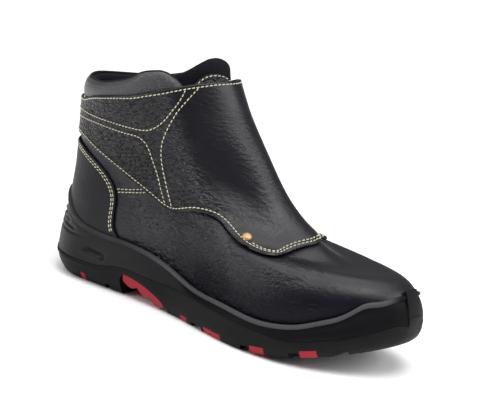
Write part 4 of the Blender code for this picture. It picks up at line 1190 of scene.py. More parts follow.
class BOOT_OT_collar(Builder, bpy.types.Operator):
    """Build the padded collar, its piping and the lining of the shaft"""

    bl_idname = "boot.collar"
    bl_label = "Padded collar"

    def build(self, last, sizes):
        angle = np.linspace(-150.0, 150.0, 361)
        rim = eased(COLLAR_RIM, 1, np.abs(angle))
        low = np.minimum(flap_top_ring(angle) - 0.30, rim - 0.12)
        share = np.linspace(0.0, 1.0, 34)[:, None]
        ring = low[None, :] + (rim - low)[None, :] * share
        shown = np.clip((rim - flap_top_ring(angle) - 0.10) / 0.35, 0.0, 1.0)[None, :]
        turn = np.broadcast_to(angle, ring.shape)
        # The panel bulges like a pad and rolls inward at the rim.
        pad = np.sin(math.pi * np.clip((share - 0.10) / 0.88, 0.0, 1.0) ** 0.9)
        roll = np.clip((share - 0.80) / 0.20, 0.0, 1.0) ** 2
        out = shown * (PAD_SWELL * pad - PAD_ROLL * roll)
        wobble = PAD_WAVE * np.sin(np.radians(angle) * 9.0)[None, :] * pad * shown
        outer = last.at(turn, ring, out + wobble)
        # The lining side: full at the pad, thin below it.
        share_in = np.linspace(0.0, 1.0, 22)[:, None]
        ring_in = low[None, :] + (rim + 0.02 - low)[None, :] * share_in
        thick = sizes.collar_pad * (0.35 + 0.65 * np.sin(math.pi * share_in ** 0.8) ** 0.7)
        inner = last.at(np.broadcast_to(angle, ring_in.shape), ring_in, -thick)
        item = shell("collar_pad", outer, inner, look("collar_leather"))
        leather_values(item, np.full(ring.shape, 0.9))
        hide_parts("upper")
        count = 320
        place = np.linspace(-133.0, 133.0, count)
        top = eased(COLLAR_RIM, 1, np.abs(place)) - 0.02
        path = last.at(place, top, -sizes.leather - 0.0006)
        _, normal = last.point_and_normal(place, top)
        piping = tube("collar_piping", path, normal, PIPING_RADIUS, look("piping"))
        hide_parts("upper")
        angle = np.linspace(-180.0, 180.0, 241)
        rim = eased(COLLAR_RIM, 1, np.abs(angle))
        share = np.linspace(0.0, 1.0, 60)[:, None]
        ring = 0.12 + (rim - 0.03 - 0.12)[None, :] * share
        around, slot = throat_angles(np.broadcast_to(angle, ring.shape), ring)
        swell = np.clip((ring - (rim - 1.5)) / 0.5, 0.0, 1.0)
        swell = swell * np.sin(math.pi * np.clip((rim - ring) / 1.6, 0.0, 1.0) ** 0.6)
        depth = sizes.leather + 0.0003 + swell * (sizes.collar_pad - 0.0016)
        outer = last.at(around, ring, -depth)
        inner = last.at(around, ring, -depth - LINING_WALL)
        sides = [bool(s > 0.0) for s in slot[:, 0]]
        item = shell("shaft_lining", outer, inner[::2], look("lining"),
                     sides=sides)
        weld(item)
        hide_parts("upper")


def flap_edges(columns):
    """Places along the lower and the upper edge of the whole flap, outer side first."""
    low_path = curve_through(FLAP_LOW, EDGE_POINTS)
    high_path = curve_through(FLAP_HIGH, EDGE_POINTS)
    share = np.linspace(0.0, 1.0, EDGE_POINTS)
    at = np.linspace(0.0, 1.0, columns)
    low = np.column_stack([np.interp(at, share, low_path[:, i]) for i in (0, 1)])
    # The upper edge's angles are evened out, so that the grid's columns do not bunch up.
    turn = np.clip(low[:, 0], high_path[0, 0], high_path[-1, 0])
    window = np.ones(EVEN_OVER) / EVEN_OVER
    even = np.convolve(np.pad(turn, EVEN_OVER // 2, mode="edge"), window, "valid")
    even[[0, -1]] = turn[[0, -1]]
    high = np.column_stack([even, np.interp(even, high_path[:, 0], high_path[:, 1])])
    end = FLAP_END[0]
    tail = np.linspace(end[0], FLAP_END[-1][0], 40)
    inner = [(edge * [-1, 1] + [360, 0])[::-1][1:] for edge in (low, high)]
    keep = inner[0][:, 0] < end[0]
    edges = []
    for i, outer in ((1, low), (2, high)):
        rows = inner[i - 1][keep]
        blend = smooth_step(FLAP_BLEND_FROM, end[0], rows[:, 0])
        rows[:, 1] = rows[:, 1] * (1 - blend) + end[i] * blend
        final = np.column_stack([tail, eased(FLAP_END, i, tail)])
        edges.append(np.concatenate([outer, rows, final]))
    edges[0][:, 1] = drawn_back(edges[0][:, 0], edges[0][:, 1])
    return edges


def flap_seams(last):
    """All seams of the flap as lines of (angle, ring) places, outer and inner side."""
    second = last.beside(SEAM_LOW, ROW_GAP)
    ahead = np.arange(len(second)) > len(second) * 0.55
    first = int(np.argmax(ahead & (second[:, 1] < SECOND_ROW_FROM)))
    second = upto_middle(second[first::4])
    inner = [((INNER_END, ring),) + tuple(p for p in seam if p[0] > INNER_END + 1.0)
             for seam, ring in ((SEAM_TOP, 7.84), (SEAM_A, 7.10), (SEAM_B, 6.80))]
    inner.insert(1, tuple(p for p in SEAM_LOW if p[0] > INNER_LOW_END))
    inner.insert(2, second)
    outer = [SEAM_TOP, SEAM_LOW, second, SEAM_A, SEAM_B, SEAM_C]
    lines = [np.array(line, float) for line in outer + [mirrored(s) for s in inner + [SEAM_C]]]
    for k in (1, 2, 7, 8):
        lines[k][:, 1] = drawn_back(lines[k][:, 0], lines[k][:, 1])
    return lines


def drawn_back(angle, ring):
    """Ring numbers of the flap's lower edge and seams, lifted beside the middle of the front."""
    return ring + FRONT_LIFT[2] * np.exp(-(((angle - FRONT_LIFT[0]) / FRONT_LIFT[1]) ** 2))


class BOOT_OT_flap(Builder, bpy.types.Operator):
    """Build the spark flap: one thick leather sheet around the front and both ankles"""

    bl_idname = "boot.flap"
    bl_label = "Spark flap"

    def build(self, last, sizes):
        low, high = flap_edges(240)
        share = edge_shares(0.080, 0.0016, 84)[:, None]
        around, ring = between(low, high, share)
        base = last.at(around, ring, sizes.flap_gap + sizes.flap_wall)
        along = run_along(base, 0)
        across = run_along(base, 1)
        distance = np.minimum(along, along[-1:] - along)
        distance = np.minimum(distance, np.minimum(across, across[:, -1:] - across))
        left = rounded_offset(distance, sizes.flap_wall)
        relief = fold_depths(last, base, FLAP_FOLDS)
        relief += seam_depths(last, base, flap_seams(last))
        relief *= smooth_step(0.0, 0.004, distance) * 0.6 + 0.4
        outer, inner = both_sides(last, around, ring, (sizes.flap_gap, sizes.flap_wall), left,
                                  relief, 40)
        item = shell("spark_flap", outer, inner, look("grain_leather"))
        a = folded(around)
        grain = (1.20 - 1.06 * smooth_step(98, 130, a)) * smooth_step(0.0, 0.003, distance)
        leather_values(item, grain)
        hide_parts("flap")


class BOOT_OT_counter(Builder, bpy.types.Operator):
    """Build the raised heel counter"""

    bl_idname = "boot.counter"
    bl_label = "Heel counter"

    def build(self, last, sizes):
        edge = curve_through(COUNTER_EDGE, 110)
        # Columns fan from the middle of the heel's base to the edge on either side.
        foot_turn = np.linspace(0.0, COUNTER_EDGE[-1][0], len(edge))
        wall = last.sizes.shaft_height * spline(WALL_TOP, 1, foot_turn)
        foot_ring = last.ring_at_height(foot_turn, wall - 0.004)
        side_low = np.column_stack([foot_turn, foot_ring])
        low = np.concatenate([(side_low * [-1, 1])[::-1], side_low[1:]])
        high = np.concatenate([(edge * [-1, 1])[::-1], edge[1:]])
        share = edge_shares(0.040, 0.0012, 40)[:, None]
        around, ring = between(low, high, share)
        base = last.at(around, ring, COUNTER_GAP + sizes.counter_wall)
        along = run_along(base, 0)
        left = rounded_offset(along[-1:] - along, sizes.counter_wall)
        relief = seam_depths(last, base, counter_seams(last))
        outer, inner = both_sides(last, around, ring, (COUNTER_GAP, sizes.counter_wall), left,
                                  relief, 20)
        item = shell("counter_leather", outer, inner, look("smooth_leather"))
        leather_values(item, np.full(ring.shape, 0.55))
        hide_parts("heel_counter")


def counter_seams(last):
    """The two rows of stitches beside the counter's edge, on both sides."""
    rows = []
    for away in COUNTER_ROWS:
        line = upto_middle(last.beside(COUNTER_EDGE, -away)[1:-4:5])
        rows.append(line)
        rows.append(mirrored(line))
    return rows


def facing_crown(turn):
    """Ring number of the facing's upper edge, at angles from its middle."""
    return FACING[2] - FACING[3] * (np.abs(turn) / FACING[1]) ** FACING_CURVE


class BOOT_OT_tongue(Builder, bpy.types.Operator):
    """Build the padded tongue and the leather facing in front of it"""

    bl_idname = "boot.tongue"
    bl_label = "Tongue"

    def build(self, last, sizes):
        turn = np.linspace(-TONGUE_EDGE, TONGUE_EDGE, 121)
        top = eased(TONGUE_TOP, 1, turn)
        share = edge_shares(0.100, 0.004, 70)[:, None]
        ring = TONGUE_LOW + (top - TONGUE_LOW)[None, :] * share
        around = np.broadcast_to(180.0 + turn, ring.shape)
        wall = TONGUE_DEPTH + TONGUE_DEEPER * np.clip((ring - 7.7) / 0.5, 0.0, 1.0)
        wall = wall - TONGUE_LEAN * smooth_step(9.05, 9.90, ring)
        edge = np.clip((TONGUE_EDGE - np.abs(turn)) / 10.0, 0.0, 1.0)[None, :]
        ends = np.clip(np.minimum(share, 1.0 - share) / 0.07, 0.0, 1.0)
        round_edge = rounded_end(edge) * rounded_end(ends)
        full = sizes.tongue_wall * (1.0 + 0.5 * smooth_step(8.6, 9.8, ring))
        body = full * (0.10 + 0.90 * round_edge)
        middle = wall + full * 0.5
        outer = last.at(around, ring, -(middle - body * 0.5))
        inner = last.at(around[::2], ring[::2], -(middle + body * 0.5)[::2])
        item = shell("tongue_pad", outer, inner, look("lining"))
        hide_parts("tongue")
        turn = np.linspace(-FACING[1], FACING[1], 81)
        crown = facing_crown(turn)
        share = edge_shares(0.060, 0.0012, 40)[:, None]
        ring = FACING_LOW + (crown - FACING_LOW)[None, :] * share
        around = np.broadcast_to(FACING[0] + turn, ring.shape)
        half = FACING_WALL * 0.5 * rounded_offset((1.0 - share) * 0.060, FACING_WALL)
        outer = last.at(around, ring, -FACING_WALL + half)
        inner = last.at(around, ring, -FACING_WALL - half)
        facing = shell("tongue_facing", outer, inner, look("grain_leather"))
        # The facing has its grain on both sides.
        leather_values(facing, np.full((2, *ring.shape), 0.7))
        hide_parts("tongue")


def sole_angles(step):
    """Angles of the sole's sections, with close pairs at the edges of the toe band."""
    side = list(np.arange(0.0, 180.0 + step, step))
    side = [a for a in side if abs(a - BAND_EDGE) > 0.5]
    side += [BAND_EDGE - BAND_SLIT, BAND_EDGE, BAND_EDGE + BAND_SLIT]
    both = side + [360.0 - a for a in side]
    return np.array(sorted({round(np.mod(a, 360.0), 4) for a in both}))


def in_band(angle, early=0.0):
    """True where the toe band covers the wall, or from a little before it."""
    return folded(angle) > BAND_EDGE + BAND_SLIT / 2 - early


def ring_stack(name, rings, material):
    """Closed solid from a stack of rings of points, closed at both ends by strips across."""
    rings = np.asarray(rings)
    levels, count, _ = rings.shape
    number = np.arange(levels * count).reshape(levels, count)
    faces = strip_faces(number)
    half = count // 2
    for ring, flip in ((number[0].tolist(), True), (number[-1].tolist(), False)):
        strips = [(ring[0], ring[1], ring[-1])]
        for c in range(1, half - 1):
            strips.append((ring[c], ring[c + 1], ring[count - c - 1], ring[count - c]))
        strips.append((ring[half - 1], ring[half], ring[half + 1]))
        faces += [strip[::-1] if flip else strip for strip in strips]
    return new_object(name, rings, faces, material)


def sole_sections(last, angle):
    """Named rows of numbers on the sole's sections, shared by the sole's pieces."""
    x = last.outline(angle)[:, 0]
    top = last.sizes.shaft_height * spline(WALL_TOP, 1, folded(angle))
    band = in_band(angle)
    ledge = last.sizes.shaft_height * eased(LEDGE, 1, folded(angle))
    ledge = np.maximum(ledge, last.plate_height(x) + 0.0012)
    ledge = np.where(band, last.sizes.shaft_height * BAND_TOP, ledge)
    return x, top, band, ledge


def flat_points(last, xy, z):
    """Rows of x, y, z from rows of x, y and heights, around the boot's origin."""
    return np.column_stack([xy, np.broadcast_to(z, len(xy))]) - last.middle


def tread_rings(last, angle):
    """Rings of the tread piece before its gaps are cut: foot, rounded side, ledge."""
    x, _, band, ledge = sole_sections(last, angle)
    size = last.sizes
    inset = size.heel_width * spline(TREAD_INSET, 1, x / size.shoe_length)
    foot = last.outline(angle, inset)
    low = last.tread_height(foot[:, 0])
    plate = last.outline(angle, size.rim_wall)
    plate_z = last.plate_height(plate[:, 0])
    side = plate_z - low
    rings = [flat_points(last, last.outline(angle, inset + 0.0008), low)]
    for share, lift in ((0.98, 0.03), (0.78, 0.16), (0.45, 0.40), (0.24, 0.64), (0.10, 0.90)):
        rings.append(flat_points(last, last.outline(angle, inset * share), low + side * lift))
    base = low + side * 0.90
    # Within the band a step runs across, at a third of its height.
    step = np.where(band, BAND_STEP, 0.0)
    rise = ledge - base
    top = size.shaft_height * spline(WALL_TOP, 1, folded(angle))
    lip = last.at(angle, last.ring_at_height(angle, top), BAND_LIP) + last.middle

    def band_row(share, inset, drop=0.0):
        """A row of the band, which leans inward above its step as the cup's wall does."""
        lean = np.where(band, max(0.0, (share - 0.35) / 0.65) ** 1.5, 0.0)[:, None]
        edge = last.outline(angle, inset)
        along = edge - last.outline(angle, inset + 0.001)
        xy = edge * (1.0 - lean) + (lip[:, :2] - along * inset[:, None] * 1000.0) * lean
        return flat_points(last, xy, base + rise * share - drop)

    for share, push in ((0.30, 0.0), (0.44, 0.0), (0.455, 1.0), (0.62, 1.0), (0.78, 1.0)):
        rings.append(band_row(share, step * push))
    rings += [
        band_row(1.0, step, 0.0009),
        band_row(1.0, step + 0.0002, 0.0003),
        band_row(1.0, step + 0.0006, 0.0),
        band_row(1.0, step + 0.0024, 0.0),
        flat_points(last, plate, np.where(band, ledge * 0.4 + plate_z * 0.6, ledge)),
        flat_points(last, plate, plate_z),
    ]
    return rings


def cup_rings(last, angle):
    """Rings of the cup: underside, outer wall with its bead, lip, then the inner wall."""
    size = last.sizes
    x, top, band, ledge = sole_sections(last, angle)
    inside = size.rim_wall + CUP_SPACE
    inner = last.outline(angle, inside)
    ring_top = last.ring_at_height(angle, top)
    lip_in = last.at(angle, ring_top, CUP_SPACE) + last.middle
    lip_out = last.at(angle, ring_top, CUP_LIP) + last.middle
    hollow = size.rim_wall * eased(SIDE_HOLLOW, 1, folded(angle))
    behind = in_band(angle, BAND_SLIT)
    base = np.where(band, (last.plate_height(x) + top) / 2, ledge + np.where(behind, 0.0014, 0.0))

    def wall(share):
        """A row on the outer wall between the ledge and the lip."""
        dish = math.sin(math.pi * min(1.0, share * 1.05)) ** 1.2
        low = np.where(behind, inside, 0.0004 + hollow * dish)
        edge = last.outline(angle, low)
        lean = max(0.0, (share - 0.22) / 0.78) ** 1.6
        xy = edge * (1.0 - lean) + lip_out[:, :2] * lean
        reach = top - size.bead_height - base
        return flat_points(last, xy, base + size.gap + reach * share)

    push = unit(lip_out[:, :2] - lip_in[:, :2])

    def beside_lip(drop, out):
        """A row close under the lip, a little outward of it."""
        moved = lip_out[:, :2] + push * np.where(behind, 0.0, out)[:, None]
        return flat_points(last, moved, top - drop)

    rings = [
        flat_points(last, inner, last.plate_height(inner[:, 0]) + CUP_SPACE),
        flat_points(last, inner, base + size.gap - np.where(behind, 0.001, 0.0)),
        flat_points(last, last.outline(angle, np.where(behind, inside, 0.0006)),
                    base + size.gap * 0.4),
    ]
    first = len(rings)
    rings += [wall(share) for share in np.linspace(0.02, 0.965, 42)]
    last_wall = len(rings)
    bead = size.bead_height
    for turn in np.linspace(-70.0, 90.0, 9):
        rad = math.radians(turn)
        out = BEAD_OUT * (math.cos(rad) - 0.1)
        drop = bead * 0.5 * (1.0 - math.sin(rad))
        rings.append(beside_lip(drop, out))
    rings.append(flat_points(last, (lip_in[:, :2] + lip_out[:, :2]) / 2, top + 0.00015))
    rings.append(flat_points(last, lip_in[:, :2], top - 0.0003))
    for share in (0.5, 0.0):
        rings.append(last.at(angle, ring_top * share, CUP_SPACE))
    rings[-1][:, 2] = last.bed_height(rings[-1][:, 0] + last.middle[0])
    return rings, first, last_wall


class BOOT_OT_cup(Builder, bpy.types.Operator):
    """Build the cup of the sole: side wall with its bead, ribs and hollows"""

    bl_idname = "boot.cup"
    bl_label = "Cup of the sole"

    def build(self, last, sizes):
        angle = sole_angles(0.75)
        rings, first, last_wall = cup_rings(last, angle)
        rings = np.array(rings)
        wall = rings[first:last_wall]
        across = np.diff(wall, axis=0)
        across = np.concatenate([across, across[-1:]])
        along = np.roll(wall, -1, 1) - np.roll(wall, 1, 1)
        out = unit(np.cross(along, across))
        depth = np.zeros(wall.shape[:2])
        levels = np.linspace(0.0, 1.0, len(wall))
        for line, width, deep in SOLE_LINES:
            place = curve_through(line, 24)
            for turn in (place[:, 0], 360.0 - place[:, 0]):
                column = np.interp(turn, angle, np.arange(len(angle)))
                i = np.clip(np.round(column).astype(int), 0, len(angle) - 1)
                path = np.array([
                    [np.interp(share, levels, wall[:, k, axis]) for axis in range(3)]
                    for share, k in zip(place[:, 1], i)
                ])
                depth -= deep * MM * near_line(wall, path, width * MM)
        depth *= ~in_band(angle, 2.0)[None, :]
        rings[first:last_wall] = wall + out * depth[..., None]
        item = ring_stack("sole_cup", rings, look("cup"))
        # Painted highlight: the bead's rows take the lighter bead colour, faint at the heel, full
        # along the sides and gone at the toe band.
        edge = np.zeros(rings.shape[:2])
        edge[last_wall:last_wall + 10] = (
            (0.15 + 0.85 * smooth_step(58.0, 82.0, folded(angle)))
            * (1.0 - smooth_step(160.0, 171.0, folded(angle)))
        )
        add_values(item, "edge", edge)
        # Painted light and shade: the wall's specular level is raised round the heel and cut from
        # the waist to the toe, darker along the forefoot side that lies in shade.
        gloss = 1.3 - 1.05 * smooth_step(62.0, 98.0, folded(angle))
        add_values(item, "gloss", np.broadcast_to(gloss, edge.shape))
        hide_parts("midsole")


def box_cutter(last, name, x, y, z, slope):
    """Box between two x, y and z values, tilted to follow a slope."""
    verts = []
    middle = (x[0] + x[1]) / 2
    for px in x:
        for py in y:
            for pz in z:
                verts.append((px, py, pz + slope * (px - middle)))
    faces = [(0, 1, 3, 2), (4, 6, 7, 5), (0, 4, 5, 1), (2, 3, 7, 6), (0, 2, 6, 4), (1, 5, 7, 3)]
    return bare_object(name, np.array(verts) - last.middle, faces)


def prism_cutter(last, name, profile, half_width):
    """Solid with a profile of x, z points, drawn across the boot."""
    profile = np.asarray(profile)
    count = len(profile)
    near = np.column_stack([profile[:, 0], np.full(count, -half_width), profile[:, 1]])
    far = np.column_stack([profile[:, 0], np.full(count, half_width), profile[:, 1]])
    faces = [tuple(range(count)), tuple(range(2 * count - 1, count - 1, -1))]
    for i in range(count):
        j = (i + 1) % count
        faces.append((j, i, count + i, count + j))
    item = bare_object(name, np.concatenate([near, far]) - last.middle, faces)
    bm = bmesh.new()
    bm.from_mesh(item.data)
    bmesh.ops.recalc_face_normals(bm, faces=bm.faces[:])
    bm.to_mesh(item.data)
    bm.free()
    return item


def cut_with(item, cutters, operation):
    """Applies one Boolean for each cutter, then removes the cutters."""
    for other in cutters:
        step = item.modifiers.new(other.name, "BOOLEAN")
        step.operation = operation
        step.solver = "EXACT"
        step.object = other
    graph = bpy.context.evaluated_depsgraph_get()
    mesh = bpy.data.meshes.new_from_object(item.evaluated_get(graph))
    item.modifiers.clear()
    item.data = mesh
    for other in cutters:
        bpy.data.objects.remove(other, do_unlink=True)


def soften(item, width):
    """Rounds the hard edges and shades the rest smooth."""
    item.data.shade_smooth()
    item.data.set_sharp_from_angle(angle=math.radians(60.0))
    bevel = item.modifiers.new("soft_edges", "BEVEL")
    bevel.width = width
    bevel.segments = 2
    bevel.limit_method = "ANGLE"
    bevel.angle_limit = math.radians(35.0)
    bevel.harden_normals = False
    bevel.use_clamp_overlap = True


def block_span(last, row):
    """x limits, middle, slope and ceiling of a gap or block between lugs."""
    size = last.sizes
    x0 = size.shoe_length * row[0]
    x1 = size.shoe_length * row[1]
    middle = (x0 + x1) / 2.0
    slope = float((last.tread_height(x1) - last.tread_height(x0)) / (x1 - x0))
    ceiling = float(last.tread_height(middle)) + size.bed_height * row[2]
    return x0, x1, middle, slope, ceiling


def side_reach(last, middle, outer):
    """y limits of a block let in from the outer or the inner side."""
    angle = math.degrees(math.acos(1.0 - 2.0 * middle / last.sizes.shoe_length))
    turn = angle if outer else 360.0 - angle
    edge = float(last.outline(np.array([turn]))[0, 1])
    return (edge - 0.02, edge + BLOCK_REACH) if outer else (edge - BLOCK_REACH, edge + 0.02)


def arch_profile(last, drop, lobes):
    """Points of the arch's ceiling, and for the bar its lobed underside."""
    size = last.sizes
    ceiling = [(size.shoe_length * s, size.bed_height * h - drop) for s, h in ARCH]
    if not lobes:
        first = ceiling[0][0]
        final = ceiling[-1][0]
        return [(first, -0.010)] + ceiling + [(final + 0.001, -0.010)]
    upper = ceiling[1:-1]
    x0 = upper[0][0] + 0.0004
    x1 = upper[-1][0] - 0.0006
    xs = np.linspace(x0, x1, 73)
    heights = np.interp(xs, [p[0] for p in upper], [p[1] for p in upper])
    wave = np.abs(np.sin(np.linspace(0.0, 3.0 * math.pi, len(xs))))
    taper = np.minimum(1.0, (np.arange(len(xs))[::-1] + 8.0) / 20.0)
    floor = heights - BAR_WALL * taper - LOBE_HANG * wave
    return [(x0, heights[0])] + upper[1:-1] + [(x1, heights[-1])] + list(zip(xs, floor))[::-1]


class BOOT_OT_tread(Builder, bpy.types.Operator):
    """Build the tread with its lugs, arch and toe band, and the coloured inserts"""

    bl_idname = "boot.tread"
    bl_label = "Tread and inserts"

    def build(self, last, sizes):
        angle = sole_angles(1.5)
        rings = tread_rings(last, angle)
        tread = ring_stack("sole_tread", rings, look("tread"))
        cutters = []
        for i, row in enumerate(LUG_GAPS):
            x0, x1, _, slope, ceiling = block_span(last, row)
            z = (ceiling - 0.012, ceiling)
            cutters.append(box_cutter(last, "gap_%d" % i, (x0, x1), ACROSS, z, slope))
        cutters.append(prism_cutter(last, "arch_space", arch_profile(last, 0.0, False), 0.08))
        for s0, s1 in GROOVES:
            span = (sizes.shoe_length * s0, sizes.shoe_length * s1)
            rise = float(last.tread_height(span[1]))
            depth = 0.0035 + rise * 0.2
            slope = rise * 0.45 / (span[1] - span[0])
            y, z = (-GROOVE_HALF, GROOVE_HALF), (depth - 0.012, depth)
            cutters.append(box_cutter(last, "groove", span, y, z, slope))
        for i, row in enumerate(LUG_BLOCKS):
            x0, x1, middle, slope, ceiling = block_span(last, row)
            for outer in (True, False):
                side = "lateral" if outer else "medial"
                y = side_reach(last, middle, outer)
                z = (ceiling - 0.02, ceiling)
                cutters.append(box_cutter(last, "pocket", (x0, x1), y, z, slope))
                block = ring_stack("block_%s_%d" % (side, i + 1), rings, look("insert"))
                gap = sizes.gap
                inner = (y[0], y[1] - gap) if outer else (y[0] + gap, y[1])
                x, z = (x0 + gap, x1 - gap), (z[0], z[1] - gap)
                keep = box_cutter(last, "keep", x, inner, z, slope)
                cut_with(block, [keep], "INTERSECT")
                soften(block, 0.0006)
                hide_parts("lug_insert_%s_%d" % (side, i + 1))
        cut_with(tread, cutters, "DIFFERENCE")
        soften(tread, 0.0005)
        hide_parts("outsole")
        bar = ring_stack("shank_bar", rings, look("insert"))
        keep = prism_cutter(last, "keep_arch", arch_profile(last, sizes.gap, True), 0.08)
        cut_with(bar, [keep], "INTERSECT")
        soften(bar, 0.0006)
        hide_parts("arch_insert")


class BOOT_OT_stitching(Builder, bpy.types.Operator):
    """Sew the seams of the flap, counter, quarter and tongue"""

    bl_idname = "boot.stitching"
    bl_label = "Stitching"

    def build(self, last, sizes):
        height = sizes.flap_gap + sizes.flap_wall
        on_flap = [seam_line(last, s, 300, height) for s in flap_seams(last)]
        threads("flap_stitches", on_flap, sizes)
        height = COUNTER_GAP + sizes.counter_wall
        on_counter = [seam_line(last, s, 200, height) for s in counter_seams(last)]
        threads("counter_stitches", on_counter, sizes)
        lower = tuple((a, r - SIDE_ROW_STEP) for a, r in SEAM_SIDE)
        rows = (SEAM_SIDE, lower, mirrored(SEAM_SIDE), mirrored(lower))
        side = [seam_line(last, s, 80) for s in rows]
        threads("quarter_stitches", side, sizes)
        turn = np.linspace(-0.93, 0.93, 40) * FACING[1]
        crown = np.column_stack([FACING[0] + turn, facing_crown(turn) - 0.10])
        threads("facing_stitches", [seam_line(last, crown, 120, -0.0007)], sizes)


class BOOT_OT_rivets(Builder, bpy.types.Operator):
    """Set the two domed rivets"""

    bl_idname = "boot.rivets"
    bl_label = "Rivets"

    def build(self, last, sizes):
        radius = sizes.rivet_width / 2.0
        turn = np.linspace(0.0, 2.0 * math.pi, RIVET_SIDES, endpoint=False)
        profile = [(radius, -RIVET_RIM), (radius, RIVET_RIM)]
        for lift in np.linspace(12.0, 82.0, 8):
            rad = math.radians(lift)
            profile.append((radius * math.cos(rad), RIVET_RIM + RIVET_DOME * math.sin(rad)))
        rows = [
            np.column_stack([r * np.cos(turn), r * np.sin(turn), np.full(RIVET_SIDES, z)])
            for r, z in profile
        ]
        dome = np.concatenate(rows + [np.array([[0.0, 0.0, RIVET_RIM + RIVET_DOME]])])
        number = np.arange(len(profile) * RIVET_SIDES).reshape(-1, RIVET_SIDES)
        rim = number[-1].tolist()
        faces = strip_faces(number)
        faces += [(a, b, number.size) for a, b in zip(rim, rim[1:] + rim[:1])]
        faces.append(number[0, ::-1].tolist())
        for name, node, angle, ring in RIVETS:
            point, normal = last.point_and_normal(np.array([angle]), np.array([ring]))
            base = point[0] + normal[0] * (sizes.flap_gap + sizes.flap_wall) - last.middle
            turned = np.array(Vector(normal[0]).to_track_quat("Z", "Y").to_matrix())
            item = new_object(name, dome @ turned.T + base, faces, look("rivet"))
            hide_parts(node)


class BOOT_OT_footbed(bpy.types.Operator):
    """Give the foot bed inside the boot its textile"""

    bl_idname = "boot.footbed"
    bl_label = "Foot bed"

    def execute(self, context):
        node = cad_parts["insole"]
        node.data.materials.clear()
        node.data.materials.append(look("lining"))
        return {"FINISHED"}


# Camera: angle round the boot, height angle, roll in degrees, distance in metres.
CAMERA_TURN = 34.0
CAMERA_RISE = 15.2
CAMERA_ROLL = 8.8
CAMERA_DISTANCE = 1.4
CAMERA_AIM = (0.0, 0.0, 0.070)
# Pixels of the photograph's frame: size, focal length, and where the aim lies.
FRAME_SIZE = (480, 416)
FOCAL_PIXELS = 1976.8
AIM_PIXEL = (238.8, 221.8)
SENSOR_WIDTH = 36.0


def aim_camera(scene):
    """Camera at the photograph's angle, turned so that the aim lies at its pixel."""
    a = math.radians(CAMERA_TURN)
    e = math.radians(CAMERA_RISE)
    n = math.radians(CAMERA_ROLL)
    right = Vector((math.cos(a), math.sin(a), 0.0))
    up = Vector((-math.sin(a) * math.sin(e), math.cos(a) * math.sin(e), math.cos(e)))
    back = Vector((math.sin(a) * math.cos(e), -math.cos(a) * math.cos(e), math.sin(e)))
    across = right * math.cos(n) + up * math.sin(n)
    upward = up * math.cos(n) - right * math.sin(n)
    look_along = -back * FOCAL_PIXELS
    look_along += across * (FRAME_SIZE[0] / 2 - AIM_PIXEL[0])
    look_along += upward * (AIM_PIXEL[1] - FRAME_SIZE[1] / 2)
    z_axis = -look_along.normalized()
    x_axis = upward.cross(z_axis).normalized()
    y_axis = z_axis.cross(x_axis)
    data = bpy.data.cameras.new("camera")
    data.sensor_fit = "HORIZONTAL"
    data.sensor_width = SENSOR_WIDTH
    data.lens = FOCAL_PIXELS * SENSOR_WIDTH / FRAME_SIZE[0]
    data.clip_start = 0.05
    data.clip_end = 30.0
    camera = bpy.data.objects.new("camera", data)
    scene.collection.objects.link(camera)
    turned = Matrix((x_axis, y_axis, z_axis)).transposed().to_4x4()
    place = Vector(CAMERA_AIM) + back * CAMERA_DISTANCE
    camera.matrix_world = Matrix.Translation(place) @ turned
    scene.camera = camera


# Soft lights: name, place, width and height, power in watts. They face one point.
AREA_LIGHTS = (
    ("front_light", (1.5, 0.4, 1.05), (1.5, 1.1), 22.0),
    ("side_light", (-1.1, -1.3, 0.85), (0.8, 0.7), 10.0),
    ("top_light", (0.55, -0.40, 1.25), (0.8, 0.6), 8.0),
)
LIGHT_AIM = (0.0, 0.0, 0.08)
# Strength of the sky, and strength, width and tilt in degrees of the light above.
SKY_STRENGTH = 0.19
CEILING_STRENGTH = 2.5
CEILING_WIDTH = 75.0
CEILING_TILT = (2.0, -10.0, 0.0)
# Corners of the floor: across the camera's view and away from it, then its height.
FLOOR_CORNERS = ((-4.0, -0.42), (4.0, -0.42), (4.0, 8.0), (-4.0, 8.0))
FLOOR_HEIGHT = -0.0002


def area_light(scene, name, place, size, power):
    """Soft rectangular light that faces the boot."""
    data = bpy.data.lights.new(name, "AREA")
    data.shape = "RECTANGLE"
    data.size = size[0]
    data.size_y = size[1]
    data.energy = power
    lamp = bpy.data.objects.new(name, data)
    scene.collection.objects.link(lamp)
    toward = Vector(LIGHT_AIM) - Vector(place)
    turned = toward.to_track_quat("-Z", "Y").to_matrix().to_4x4()
    lamp.matrix_world = Matrix.Translation(Vector(place)) @ turned


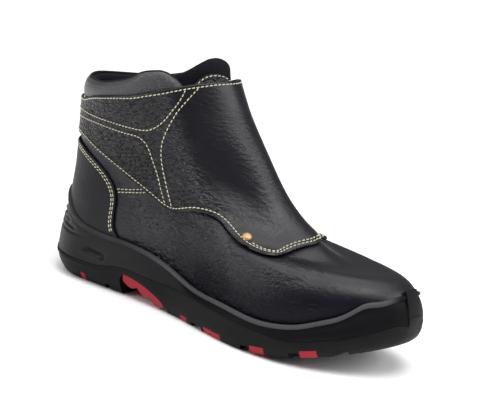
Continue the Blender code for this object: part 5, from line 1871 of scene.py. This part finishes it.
class BOOT_OT_stage(bpy.types.Operator):
    """Set the floor, the soft studio lights and the camera"""

    bl_idname = "boot.stage"
    bl_label = "Stage"

    def execute(self, context):
        scene = context.scene
        # The floor starts a little in front of the boot, so that it does not light its side.
        turn = math.radians(CAMERA_TURN)
        corners = []
        for across, ahead in FLOOR_CORNERS:
            x = across * math.cos(turn) - ahead * math.sin(turn)
            y = across * math.sin(turn) + ahead * math.cos(turn)
            corners.append((x, y, FLOOR_HEIGHT))
        floor = bare_object("floor", corners, [(0, 1, 2, 3)])
        floor.data.materials.append(plain("floor", scene.boot_colours.floor, 0.9))
        world = bpy.data.worlds.new("studio")
        world.use_nodes = True
        sky = world.node_tree.nodes["Background"]
        sky.inputs["Color"].default_value = (1.0, 1.0, 1.0, 1.0)
        sky.inputs["Strength"].default_value = SKY_STRENGTH
        scene.world = world
        scene.view_settings.view_transform = "Standard"
        lamp = bpy.data.lights.new("ceiling_light", "SUN")
        lamp.energy = CEILING_STRENGTH
        lamp.angle = math.radians(CEILING_WIDTH)
        ceiling = bpy.data.objects.new("ceiling_light", lamp)
        ceiling.rotation_euler = [math.radians(turn) for turn in CEILING_TILT]
        scene.collection.objects.link(ceiling)
        for light in AREA_LIGHTS:
            area_light(scene, *light)
        aim_camera(scene)
        return {"FINISHED"}


OPERATORS = (
    BOOT_OT_quarters, BOOT_OT_collar, BOOT_OT_flap, BOOT_OT_counter, BOOT_OT_tongue,
    BOOT_OT_cup, BOOT_OT_tread, BOOT_OT_stitching, BOOT_OT_rivets, BOOT_OT_footbed,
    BOOT_OT_stage,
)


class BOOT_PT_panel(bpy.types.Panel):
    """Lists the boot's operators, sizes and colours"""

    bl_label = "Welding boot"
    bl_idname = "BOOT_PT_panel"
    bl_space_type = "VIEW_3D"
    bl_region_type = "UI"
    bl_category = PANEL_TAB

    def draw(self, context):
        column = self.layout.column()
        for operator in OPERATORS:
            column.operator(operator.bl_idname)
        for group in (context.scene.boot_sizes, context.scene.boot_colours):
            box = self.layout.box()
            for name in group.__annotations__:
                box.prop(group, name)


CLASSES = (BootSizes, BootColours) + OPERATORS + (BOOT_PT_panel,)


def register():
    """Registers the classes and the scene's two groups of settings."""
    for item in CLASSES:
        bpy.utils.register_class(item)
    bpy.types.Scene.boot_sizes = PointerProperty(type=BootSizes)
    bpy.types.Scene.boot_colours = PointerProperty(type=BootColours)


def unregister():
    """Takes away what register has added."""
    del bpy.types.Scene.boot_sizes
    del bpy.types.Scene.boot_colours
    for item in reversed(CLASSES):
        bpy.utils.unregister_class(item)


def main():
    register()
    for operator in OPERATORS:
        getattr(bpy.ops.boot, operator.bl_idname.split(".")[1])()


if __name__ == "__main__":
    main()
